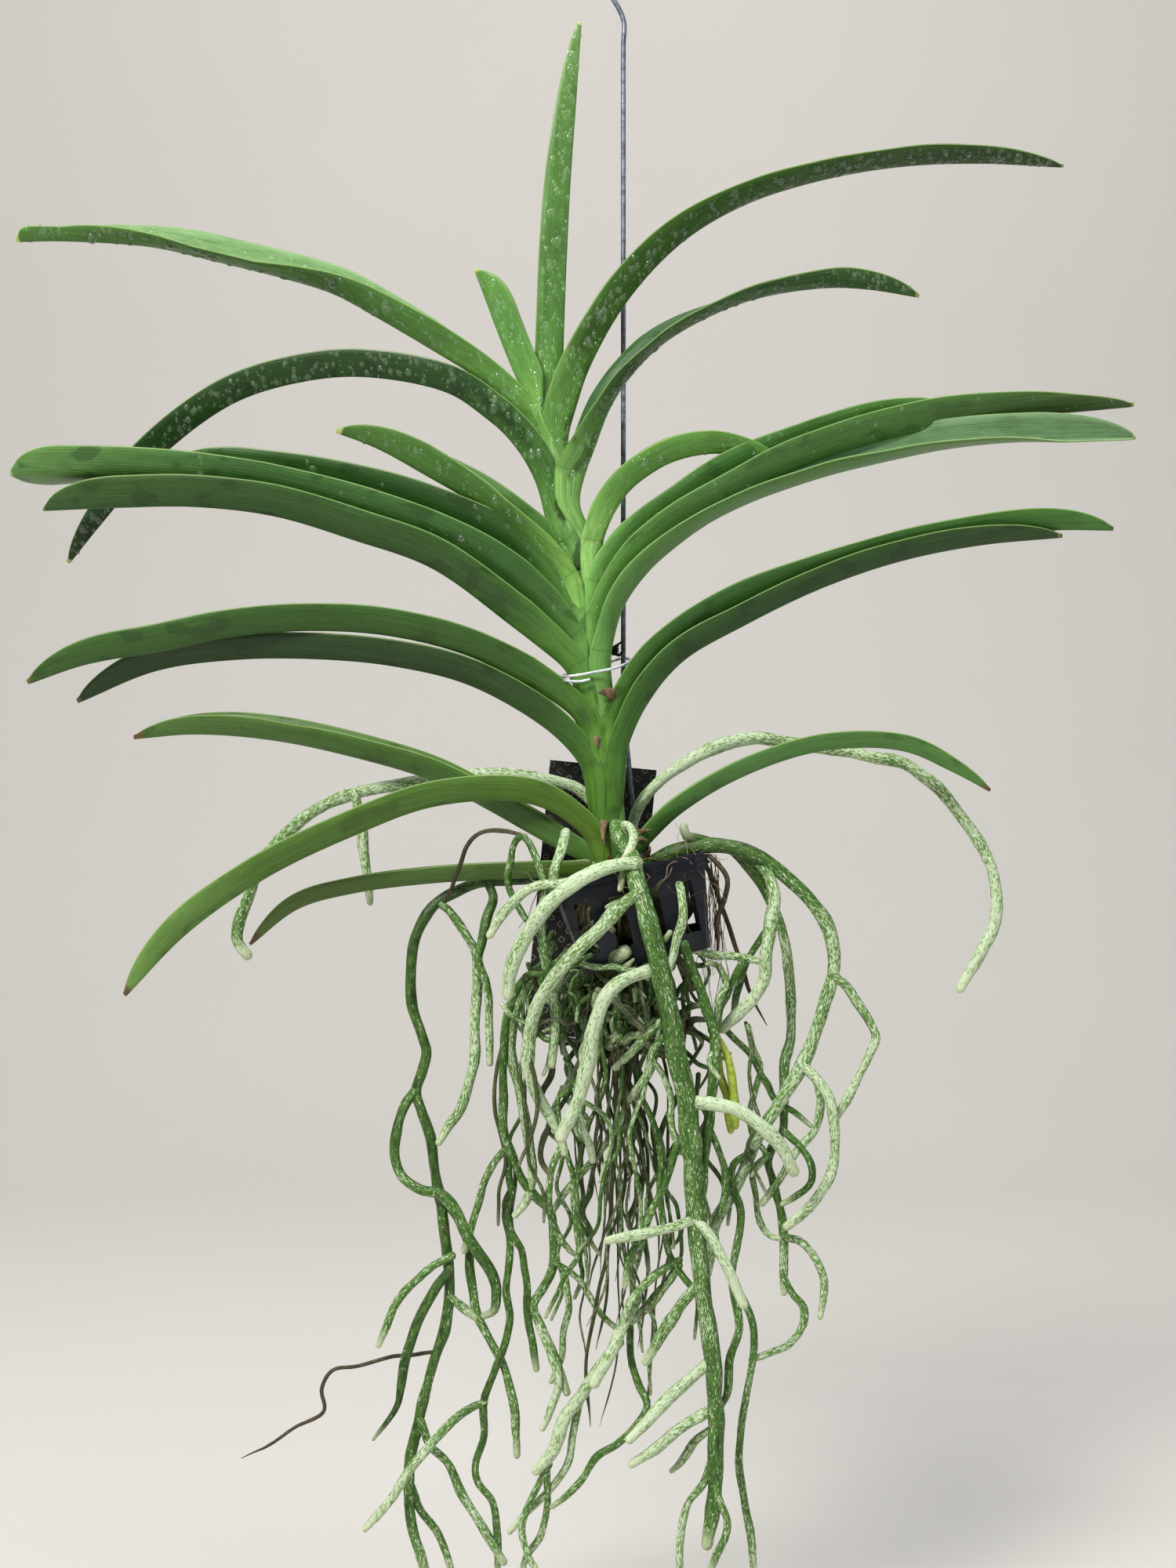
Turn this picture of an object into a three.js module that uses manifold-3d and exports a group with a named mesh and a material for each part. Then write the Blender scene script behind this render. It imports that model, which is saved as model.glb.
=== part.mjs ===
// A vanda orchid that hangs in a slotted basket from a galvanised wire hook.
// Millimetres, +Z up, the plant faces -Y. The origin is the inner top of the hook, where it hangs.

import * as THREE from "three";
import { mergeVertices } from "three/addons/utils/BufferGeometryUtils.js";
import Module from "manifold-3d";

const wasm = await Module();
wasm.setup();

// ---------------------------------------------------------------- driving sizes

const GAP = 0.35; // clearance between neighbouring pieces

const STEM_WIDTH = 15; // across the sheaths, between the two ranks of leaves
const STEM_DEPTH = 12;
const SHEATH_STEP = 1.6; // how far a sheath stands out at its upper lip

const LEAF_THICKNESS = 1.3;
const MARGIN_THICKNESS = 0.9;
const LEAF_STATION = 31; // mm of leaf between two sections

const WIRE = 2.7; // hanger wire diameter
const HOOK_BORE = 20; // inner diameter of the hook
const WIRE_DEPTH = 20; // the hanger runs this far behind the stem's axis
const TIE_WIRE = 1.8;

const BASKET_RIM = 84; // outer side of the square rim
const BASKET_BASE = 68;
const BASKET_HEIGHT = 50;
const BASKET_WALL = 1.8;
const RIM_HEIGHT = 9;
const RIM_LIP = 1.4;
const SLOT_WIDTH = 8;
const SLOT_HEIGHT = 27;
const SLOT_OFFSETS = [-27, -9, 9, 27];
const BASKET_TILT = THREE.MathUtils.degToRad(12);

const CARD_WIDTH = 59;
const CARD_HEIGHT = 151;
const CARD_THICKNESS = 1;
const CARD_TILT = THREE.MathUtils.degToRad(-5.5);

// ---------------------------------------------------------------- the front drawing
// Leaves and roots are laid out on a front drawing: [right, down] in units of 0.42 mm at the stem's
// plane, seen from an eye 1250 mm in front of the drawing's centre. Depth is in mm behind the stem.

const UNIT = 0.42;
const EYE = 1250;
const CENTRE_RIGHT = 750;
const CENTRE_DOWN = 1000;
const HOOK_RIGHT = 795;
const HOOK_DOWN = -55;

function place([right, down], depth) {
  const spread = UNIT * (1 + depth / EYE);
  return new THREE.Vector3((right - CENTRE_RIGHT) * spread, depth, (CENTRE_DOWN - down) * spread);
}

const HOOK_SPREAD = UNIT * (1 + WIRE_DEPTH / EYE);
const HOOK_POINT = new THREE.Vector3(
  (HOOK_RIGHT - CENTRE_RIGHT) * HOOK_SPREAD, WIRE_DEPTH, (CENTRE_DOWN - HOOK_DOWN) * HOOK_SPREAD);

// ---------------------------------------------------------------- materials

const material = (color, roughness, metalness = 0) =>
  new THREE.MeshStandardMaterial({ color, roughness, metalness });

const YOUNG_LEAF = material(0x5f9a35, 0.42);
const OLD_LEAF = material(0x2f5d2a, 0.45);
const SHEATH = material(0x7fa83f, 0.5);
const ROOT = material(0x8fa87a, 0.8);
const BLACK_PLASTIC = material(0x17191c, 0.45);
const GALVANISED = material(0x9aa3ab, 0.4, 0.9);
const TIE_METAL = material(0xc9ccd0, 0.35, 0.8);
const CARD_BLACK = material(0x101114, 0.5);

// ---------------------------------------------------------------- lofts and solids

// Joins rings of equal point count into one closed body with its faces pointing out.
function loft(rings, capFaces) {
  const count = rings[0].length;
  const position = rings.flat().flatMap((p) => [p.x, p.y, p.z]);
  const index = [];
  for (let ring = 0; ring < rings.length - 1; ring += 1) {
    for (let i = 0; i < count; i += 1) {
      const next = (i + 1) % count;
      const a = ring * count + i;
      const b = ring * count + next;
      index.push(a, b, b + count, a, b + count, a + count);
    }
  }
  const last = (rings.length - 1) * count;
  for (const [a, b, c] of capFaces) {
    index.push(c, b, a, last + a, last + b, last + c);
  }
  const geometry = new THREE.BufferGeometry();
  geometry.setAttribute("position", new THREE.Float32BufferAttribute(position, 3));
  geometry.setIndex(signedVolume(position, index) < 0 ? index.reverse() : index);
  return geometry;
}

function signedVolume(position, index) {
  const corner = (i) => new THREE.Vector3().fromArray(position, 3 * index[i]);
  let volume = 0;
  for (let i = 0; i < index.length; i += 3) {
    volume += corner(i).dot(corner(i + 1).cross(corner(i + 2))) / 6;
  }
  return volume;
}

const fan = (count) => Array.from({ length: count - 2 }, (_, i) => [0, i + 1, i + 2]);

function solid(geometry) {
  const bare = geometry.index ? geometry.clone() : geometry;
  bare.deleteAttribute("normal");
  bare.deleteAttribute("uv");
  const merged = mergeVertices(bare, 1e-4);
  return new wasm.Manifold(new wasm.Mesh({
    numProp: 3,
    vertProperties: new Float32Array(merged.attributes.position.array),
    triVerts: new Uint32Array(merged.index.array),
  }));
}

function geometryOf(manifold) {
  const mesh = manifold.getMesh();
  const geometry = new THREE.BufferGeometry();
  geometry.setAttribute("position", new THREE.BufferAttribute(mesh.vertProperties, 3));
  geometry.setIndex(new THREE.BufferAttribute(mesh.triVerts, 1));
  return geometry;
}

// The largest body of a cut solid: the scraps beyond the cut are dropped.
function largest(manifold) {
  const bodies = manifold.decompose();
  return bodies.reduce((best, body) => (body.volume() > best.volume() ? body : best));
}

const join = (solids) => solids.reduce((sum, each) => sum.add(each));

function boxAt(size, centre, turn = new THREE.Matrix4()) {
  const geometry = new THREE.BoxGeometry(...size);
  geometry.translate(...centre);
  geometry.applyMatrix4(turn);
  return solid(geometry);
}

// A round bar along a smooth line through the points, its radius going evenly through the radii.
// perSpan: sections from one point to the next. ends: the share of the radius left at the tip.
function bar(points, radii, sides, perSpan, ends = 0.55) {
  const curve = new THREE.CatmullRomCurve3(points, false, "centripetal");
  const stations = (points.length - 1) * perSpan;
  const roundness = 1 / Math.sqrt((sides * Math.sin((2 * Math.PI) / sides)) / (2 * Math.PI));
  const normal = new THREE.Vector3(0.2, 1, 0.1);
  const rings = [];
  for (let s = 0; s <= stations; s += 1) {
    const along = s / stations;
    const centre = curve.getPoint(along);
    const tangent = curve.getTangent(along);
    normal.addScaledVector(tangent, -normal.dot(tangent)).normalize();
    const side = new THREE.Vector3().crossVectors(tangent, normal);
    const radius = evenly(radii, along) * roundness * (s === stations ? ends : 1);
    rings.push(Array.from({ length: sides }, (_, i) => {
      const angle = (2 * Math.PI * i) / sides;
      return centre.clone()
        .addScaledVector(normal, Math.cos(angle) * radius)
        .addScaledVector(side, Math.sin(angle) * radius);
    }));
  }
  return loft(rings, fan(sides));
}

// The value at one share of the way through a list of evenly spaced values.
function evenly(values, along) {
  const span = along * (values.length - 1);
  const lower = Math.min(Math.floor(span), values.length - 2);
  return THREE.MathUtils.lerp(values[lower], values[lower + 1], span - lower);
}

// ---------------------------------------------------------------- stem with its sheaths

const STEM_AXIS = [
  [702, 545], [712, 600], [724, 650], [735, 690], [744, 740], [752, 790],
  [763, 860], [772, 930], [778, 1000], [784, 1050], [790, 1085], [793, 1108],
];
const LEFT_LIPS = [600, 668, 760, 835, 905, 968, 1040, 1075];
const RIGHT_LIPS = [575, 634, 687, 741, 795, 890, 945, 1065];
const SHEATH_LENGTH = 75; // drawing units from a sheath's foot to its lip
const STEM_SIDES = 10;

const stemAxis = new THREE.CatmullRomCurve3(STEM_AXIS.map((point) => place(point, 0)));

function stemCentre(down) {
  const z = place([0, down], 0).z;
  let low = 0;
  let high = 1;
  for (let i = 0; i < 30; i += 1) {
    const middle = (low + high) / 2;
    if (stemAxis.getPoint(middle).z > z) low = middle;
    else high = middle;
  }
  return stemAxis.getPoint(low);
}

// How far the nearest sheath below its lip stands out, at one height on one side.
function sheathBulge(down, lips) {
  const lip = lips.findLast((each) => each <= down);
  if (lip === undefined) return 0;
  return SHEATH_STEP * Math.max(0, 1 - (down - lip) / SHEATH_LENGTH);
}

function stemRing(down, grow, narrow) {
  const centre = stemCentre(down);
  return Array.from({ length: STEM_SIDES }, (_, i) => {
    const angle = (2 * Math.PI * i) / STEM_SIDES;
    const side = Math.cos(angle);
    const bulge = Math.abs(side) * sheathBulge(down, side < 0 ? LEFT_LIPS : RIGHT_LIPS);
    return new THREE.Vector3(
      centre.x + side * ((STEM_WIDTH / 2) * narrow + bulge + grow),
      centre.y + Math.sin(angle) * ((STEM_DEPTH / 2) * narrow + bulge * 0.6 + grow),
      centre.z);
  });
}

const LIP_EDGE = 0.8;
const STEM_TOP = 556;
const STEM_FOOT = 1106;

function stemHeights() {
  const lips = [...LEFT_LIPS, ...RIGHT_LIPS].flatMap((lip) => [lip - LIP_EDGE, lip + LIP_EDGE]);
  return [STEM_TOP, ...lips, STEM_FOOT].sort((a, b) => a - b);
}

function stemSolid(grow) {
  const heights = stemHeights();
  const rings = heights.map((down) => {
    const narrow = THREE.MathUtils.clamp(0.45 + (down - STEM_TOP) / 140, 0.45, 1);
    return stemRing(down, grow, narrow);
  });
  const ends = GAP * Math.sign(grow);
  rings[0].forEach((point) => { point.z += ends; });
  rings[rings.length - 1].forEach((point) => { point.z -= ends; });
  return solid(loft(rings, fan(STEM_SIDES)));
}

// ---------------------------------------------------------------- leaves

// keel: the leaf's lower edge from its base on the stem to its tip, on the front drawing.
// depth: mm behind the stem at the base, the middle and the tip.
// fold: the half angle of the V in degrees. roll: how far the V turns to the front, along the leaf.
// taper: where the leaf begins to narrow to its tip. blunt: the share of its width left there.
const LEAVES = {
  leaf_crown: {
    side: 1, young: true, width: 15.5, depth: [0, 2, 6], fold: [14, 20], roll: [0, 0],
    keel: [[714, 560], [718, 500], [719, 440], [723, 330], [728, 230], [735, 130], [742, 28]],
    taper: 0.35,
  },
  leaf_left_bud: {
    side: -1, young: true, width: 15, depth: [0, -2, -6], fold: [16, 26], roll: [0, 10],
    keel: [[690, 545], [672, 512], [655, 475], [636, 428], [618, 380], [604, 343]],
    taper: 0.7, blunt: 0.3,
  },
  leaf_left_1: {
    side: -1, young: true, width: 16.5, depth: [3, -5, -40],
    fold: [22, 24, 27, 29, 31, 46, 53, 51, 51, 36, 30], roll: [0, 2, 4, 10, 18, 25, 31, 32, 21, 8, 0],
    keel: [[704, 580], [672, 535], [620, 490], [548, 445], [478, 404], [424, 375], [357, 354],
      [289, 337], [203, 317], [145, 311], [72, 308], [20, 309]],
    taper: 0.5, blunt: 0.5,
  },
  leaf_left_2: {
    side: -1, young: true, width: 15.5, depth: [0, 4, 52], fold: [27, 30], roll: [0, 0],
    keel: [[702, 690], [694, 655], [684, 618], [668, 586], [645, 556], [620, 534], [572, 502],
      [476, 482], [400, 485], [300, 514], [200, 588], [130, 668], [89, 719]],
    taper: 0.72,
  },
  leaf_left_3: {
    side: -1, young: true, width: 17, depth: [0, 0, 0], fold: [24, 30], roll: [30, 26, 0, 0],
    keel: [[746, 790], [720, 750], [696, 716], [650, 676], [600, 640], [547, 609], [480, 572],
      [428, 552]],
    taper: 0.55,
  },
  leaf_left_3b: {
    side: -1, young: false, width: 16, depth: [0, 3, 18], fold: [26, 30], roll: [0, 0],
    keel: [[748, 826], [713, 773], [683, 732], [646, 700], [600, 676], [500, 640], [400, 618],
      [320, 608], [260, 602], [215, 597]],
    taper: 0.8,
  },
  leaf_left_4: {
    side: -1, young: false, width: 17.5, depth: [0, 0, 0], fold: [28, 28, 29, 30, 31, 32, 42, 62, 69],
    roll: [0, 0, 0, 0, 0, 0, -10, -30, -37],
    keel: [[752, 862], [712, 808], [686, 778], [617, 724], [560, 695], [500, 672], [400, 643],
      [300, 622], [200, 611], [100, 607], [12, 606]],
    taper: 0.88, blunt: 0.5,
  },
  leaf_left_5: {
    side: -1, young: false, width: 18.5, depth: [0, 0, 0], fold: [28, 32], roll: [0, 0, 0],
    keel: [[752, 880], [720, 852], [650, 797], [550, 725], [450, 689], [350, 659], [250, 647],
      [150, 648], [55, 652]],
    taper: 0.85, blunt: 0.3,
  },
  leaf_left_6: {
    side: -1, young: false, width: 16, depth: [0, -4, -16], fold: [27, 30], roll: [0, 0, 0],
    keel: [[760, 948], [735, 918], [690, 885], [600, 838], [500, 812], [400, 805], [300, 812],
      [200, 832], [110, 848], [36, 873]],
    taper: 0.8,
  },
  leaf_left_7: {
    side: -1, young: false, width: 15.5, depth: [0, 2, 10], fold: [27, 30], roll: [0, 0, 0],
    keel: [[766, 1020], [740, 975], [700, 933], [600, 875], [500, 850], [400, 841], [300, 842],
      [200, 856], [100, 897]],
    taper: 0.78,
  },
  leaf_left_8: {
    side: -1, young: false, width: 14, depth: [2, 14, 20], fold: [26, 28], roll: [0, 6, 16, 0],
    keel: [[778, 1112], [740, 1098], [680, 1066], [620, 1032], [550, 996], [450, 966], [350, 945],
      [250, 937], [171, 943]],
    taper: 0.72,
  },
  leaf_left_9: {
    side: -1, young: false, width: 15, depth: [0, -14, -30], fold: [27, 30], roll: [0, 0, 0],
    keel: [[770, 1094], [740, 1062], [700, 1034], [650, 1022], [550, 1030], [450, 1067],
      [340, 1120], [240, 1190], [161, 1271]],
    taper: 0.75,
  },
  leaf_left_10: {
    side: -1, young: false, width: 10, depth: [4, 12, 8], fold: [26, 30], roll: [0, 0, 0],
    keel: [[778, 1114], [740, 1118], [650, 1121], [550, 1127], [450, 1140], [380, 1160], [320, 1206]],
    taper: 0.7,
  },
  leaf_right_1: {
    side: 1, young: true, width: 16.5, depth: [0, 2, 10],
    fold: [24, 28, 34, 54, 60, 58, 54], roll: [0, 2, 6, 8, 7, 7, 6],
    keel: [[716, 585], [735, 520], [752, 470], [800, 385], [870, 310], [950, 262], [1050, 230],
      [1150, 213], [1250, 209], [1356, 214]],
    taper: 0.7,
  },
  leaf_right_2: {
    side: 1, young: false, width: 14.5, depth: [0, -10, -26],
    fold: [34, 42, 50, 66, 66, 50, 42], roll: [11, 15, 18, 10, 6, 4, 4],
    keel: [[738, 700], [746, 655], [747, 606], [759, 572], [778, 522], [802, 484], [850, 436],
      [950, 386], [1050, 368], [1110, 370], [1172, 380]],
    taper: 0.75,
  },
  leaf_right_3: {
    side: 1, young: true, width: 14, depth: [0, 0, -2], fold: [24, 26], roll: [0, 10, 6],
    keel: [[750, 735], [762, 702], [771, 684], [779, 664], [800, 630], [827, 607], [860, 589],
      [907, 579], [950, 583], [1000, 596]],
    taper: 0.5,
  },
  leaf_right_3b: {
    side: 1, young: false, width: 15, depth: [0, 0, 0], fold: [26, 30], roll: [0, 0],
    keel: [[752, 800], [766, 755], [790, 718], [830, 680], [870, 652], [933, 610], [1027, 573],
      [1100, 550], [1160, 537], [1222, 524]],
    taper: 0.75, blunt: 0.3,
  },
  leaf_right_4: {
    side: 1, young: false, width: 17.5, depth: [0, -4, 0], fold: [24, 24, 26, 48], roll: [6, 8, 4, 0],
    keel: [[760, 840], [776, 790], [800, 748], [826, 716], [870, 679], [933, 643], [1007, 603],
      [1067, 580], [1120, 564], [1200, 546], [1308, 531], [1372, 526], [1446, 519]],
    taper: 0.6,
  },
  leaf_right_5: {
    side: 1, young: false, width: 16.5, depth: [0, 2, 0], fold: [28, 32],
    roll: [18, 24, 37, 41, 43, 47, 57, 72, 72],
    keel: [[766, 868], [779, 832], [794, 778], [826, 731], [867, 694], [907, 666], [960, 640],
      [1027, 616], [1067, 604], [1147, 585], [1200, 574], [1250, 567], [1308, 562], [1372, 560],
      [1448, 559]],
    taper: 0.82, blunt: 0.3,
  },
  leaf_right_6: {
    side: 1, young: false, width: 14.5, depth: [0, -4, -8], fold: [28, 30], roll: [0, 2, 4, 4],
    keel: [[778, 952], [795, 912], [830, 858], [880, 813], [950, 773], [1050, 737], [1150, 708],
      [1250, 688], [1340, 677], [1420, 677]],
    taper: 0.8,
  },
  leaf_right_7: {
    side: 1, young: false, width: 14, depth: [0, -4, -8], fold: [28, 30], roll: [0, 2, 4, 4],
    keel: [[784, 1012], [800, 955], [825, 900], [870, 845], [950, 798], [1050, 750], [1150, 716],
      [1250, 696], [1355, 686]],
    taper: 0.75,
  },
  leaf_right_8: {
    side: 1, young: false, width: 10, depth: [0, -12, -22], fold: [27, 30], roll: [0, 0, 0],
    keel: [[806, 1102], [830, 1075], [870, 1037], [950, 990], [1050, 958], [1150, 958],
      [1215, 985], [1262, 1010]],
    taper: 0.7,
  },
};

const TIP_WIDTH = 0.14; // of the full width, at the small tooth that ends a leaf
const BASE_WIDTH = 0.8;
const CUT_EASE = 0.08; // the slivers that a leaf is left with where it is cut are eased by up to this

function widthAt(along, taper, blunt) {
  const grown = Math.min(1, BASE_WIDTH + along * 1.6);
  const tip = Math.max(0, (along - taper) / (1 - taper));
  return Math.max(blunt, grown * (1 - tip ** 2.4) ** 0.62);
}

// The V section of a leaf: margin, keel and margin outside, then the same three inside.
function leafSection(width, fold, thickness, grow) {
  const margin = Math.min(MARGIN_THICKNESS, thickness) + 2 * grow;
  const front = new THREE.Vector2(Math.cos(fold), Math.sin(fold));
  const inward = new THREE.Vector2(Math.sin(fold), -Math.cos(fold));
  const outer = front.clone().multiplyScalar(width + grow).addScaledVector(inward, -grow);
  const inner = outer.clone().addScaledVector(inward, margin);
  const mirror = (point) => new THREE.Vector2(point.x, -point.y);
  const keel = new THREE.Vector2(-grow / Math.sin(fold), 0);
  const rib = new THREE.Vector2((thickness + grow) / Math.sin(fold), 0);
  return [outer, keel, mirror(outer), mirror(inner), rib, inner];
}

const LEAF_CAPS = [[0, 1, 5], [1, 4, 5], [1, 2, 4], [2, 3, 4]];

function leafSolid({ side, width, depth, fold, roll, keel, taper, blunt = TIP_WIDTH }, grow = 0) {
  const points = keel.map((point, i) => {
    const along = i / (keel.length - 1);
    const back = THREE.MathUtils.lerp(
      THREE.MathUtils.lerp(depth[0], depth[1], along * 2),
      THREE.MathUtils.lerp(depth[1], depth[2], along * 2 - 1),
      along < 0.5 ? 0 : 1);
    return place(point, back);
  });
  const curve = new THREE.CatmullRomCurve3(points, false, "centripetal");
  const stations = Math.round(curve.getLength() / LEAF_STATION) + 2;
  const ahead = new THREE.Vector3(0, -1, 0);
  const rings = [];
  for (let s = 0; s <= stations; s += 1) {
    const along = (s / stations) ** 0.93;
    const centre = curve.getPointAt(along);
    const tangent = curve.getTangentAt(along);
    const up = new THREE.Vector3().crossVectors(tangent, ahead).multiplyScalar(-side).normalize();
    const out = new THREE.Vector3().crossVectors(up, tangent).multiplyScalar(-side).normalize();
    const halfWidth = width * widthAt(along, taper, blunt);
    const half = THREE.MathUtils.degToRad(evenly(fold, along));
    const turn = THREE.MathUtils.degToRad(evenly(roll, along));
    const thickness = Math.min(LEAF_THICKNESS, 0.28 * halfWidth);
    rings.push(leafSection(halfWidth, half, thickness, grow).map((point) => {
      point.rotateAround(new THREE.Vector2(), turn);
      return centre.clone().addScaledVector(up, point.x).addScaledVector(out, point.y);
    }));
  }
  return solid(loft(rings, LEAF_CAPS));
}

// ---------------------------------------------------------------- basket

const BASKET_MIDDLE = place([811, 1162], -6); // centre of the basket's body
const basketTurn = new THREE.Matrix4().makeRotationY(-BASKET_TILT).setPosition(BASKET_MIDDLE);
const inBasket = (x, y, z) => new THREE.Vector3(x, y, z).applyMatrix4(basketTurn);

const CORNER = 7;

function roundedSquare(half, z) {
  const ring = [];
  for (let quarter = 0; quarter < 4; quarter += 1) {
    for (const part of [0, 0.5, 1]) {
      const angle = (quarter + part) * Math.PI / 2;
      const corner = new THREE.Vector2(half - CORNER, half - CORNER)
        .rotateAround(new THREE.Vector2(), quarter * Math.PI / 2);
      ring.push(new THREE.Vector3(
        corner.x + CORNER * Math.cos(angle), corner.y + CORNER * Math.sin(angle), z));
    }
  }
  return ring;
}

function taperedBlock(halfAtTop, halfAtFoot, top, foot) {
  return solid(loft([roundedSquare(halfAtFoot, foot), roundedSquare(halfAtTop, top)], fan(12)));
}

const TOP = BASKET_HEIGHT / 2;
const FOOT = -BASKET_HEIGHT / 2;
const WALL_HALF_TOP = BASKET_RIM / 2 - RIM_LIP;
const WALL_HALF_FOOT = BASKET_BASE / 2;
const RIB = 1; // the rim's two fine ribs
const SLOT_MIDDLE = TOP - RIM_HEIGHT - 4 - SLOT_HEIGHT / 2;
const FLOOR_SLOTS = [-18, 0, 18];

function basketSolid(grow) {
  let body = taperedBlock(WALL_HALF_TOP + grow, WALL_HALF_FOOT + grow, TOP + grow, FOOT - grow);
  body = body.add(taperedBlock(
    BASKET_RIM / 2 + grow, BASKET_RIM / 2 - 0.6 + grow, TOP + grow, TOP - RIM_HEIGHT - grow));
  for (const level of [2.6, 6]) {
    const half = BASKET_RIM / 2 + 0.6 + grow;
    const rib = taperedBlock(half, half, TOP - level + RIB / 2 + grow, TOP - level - RIB / 2 - grow);
    body = body.add(rib);
  }
  body = body.subtract(taperedBlock(
    WALL_HALF_TOP - BASKET_WALL + 0.6 - grow, WALL_HALF_FOOT - BASKET_WALL - grow, TOP + 1,
    FOOT + BASKET_WALL + grow));
  for (const offset of SLOT_OFFSETS) {
    const across = SLOT_WIDTH - 2 * grow;
    const through = BASKET_RIM + 10;
    const high = SLOT_HEIGHT - 2 * grow;
    body = body.subtract(boxAt([across, through, high], [offset, 0, SLOT_MIDDLE]));
    body = body.subtract(boxAt([through, across, high], [0, offset, SLOT_MIDDLE]));
  }
  for (const offset of FLOOR_SLOTS) {
    body = body.subtract(boxAt([SLOT_WIDTH - 2 * grow, 40 - 2 * grow, 10], [offset, 0, FOOT]));
  }
  return solid(geometryOf(body).applyMatrix4(basketTurn));
}

const BALL_HALF = BASKET_BASE / 2 - 7;
const BALL_TOP = TOP - 4;
const BALL_FOOT = FOOT + 7;

// The ball of roots and bark that fills the basket, clear of its walls.
function rootBall() {
  const levels = [BALL_FOOT, BALL_FOOT + 9, 0, BALL_TOP - 7, BALL_TOP];
  const halves = [BALL_HALF - 8, BALL_HALF, BALL_HALF + 2, BALL_HALF + 3, BALL_HALF - 9];
  const rings = levels.map((z, i) => Array.from({ length: 10 }, (_, k) => {
    const angle = (2 * Math.PI * k) / 10;
    const lump = 1 + 0.05 * Math.sin(5 * angle + i * 2);
    return inBasket(Math.cos(angle) * halves[i] * lump, Math.sin(angle) * halves[i] * lump, z);
  }));
  return solid(loft(rings, fan(10)));
}

// ---------------------------------------------------------------- roots

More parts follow.
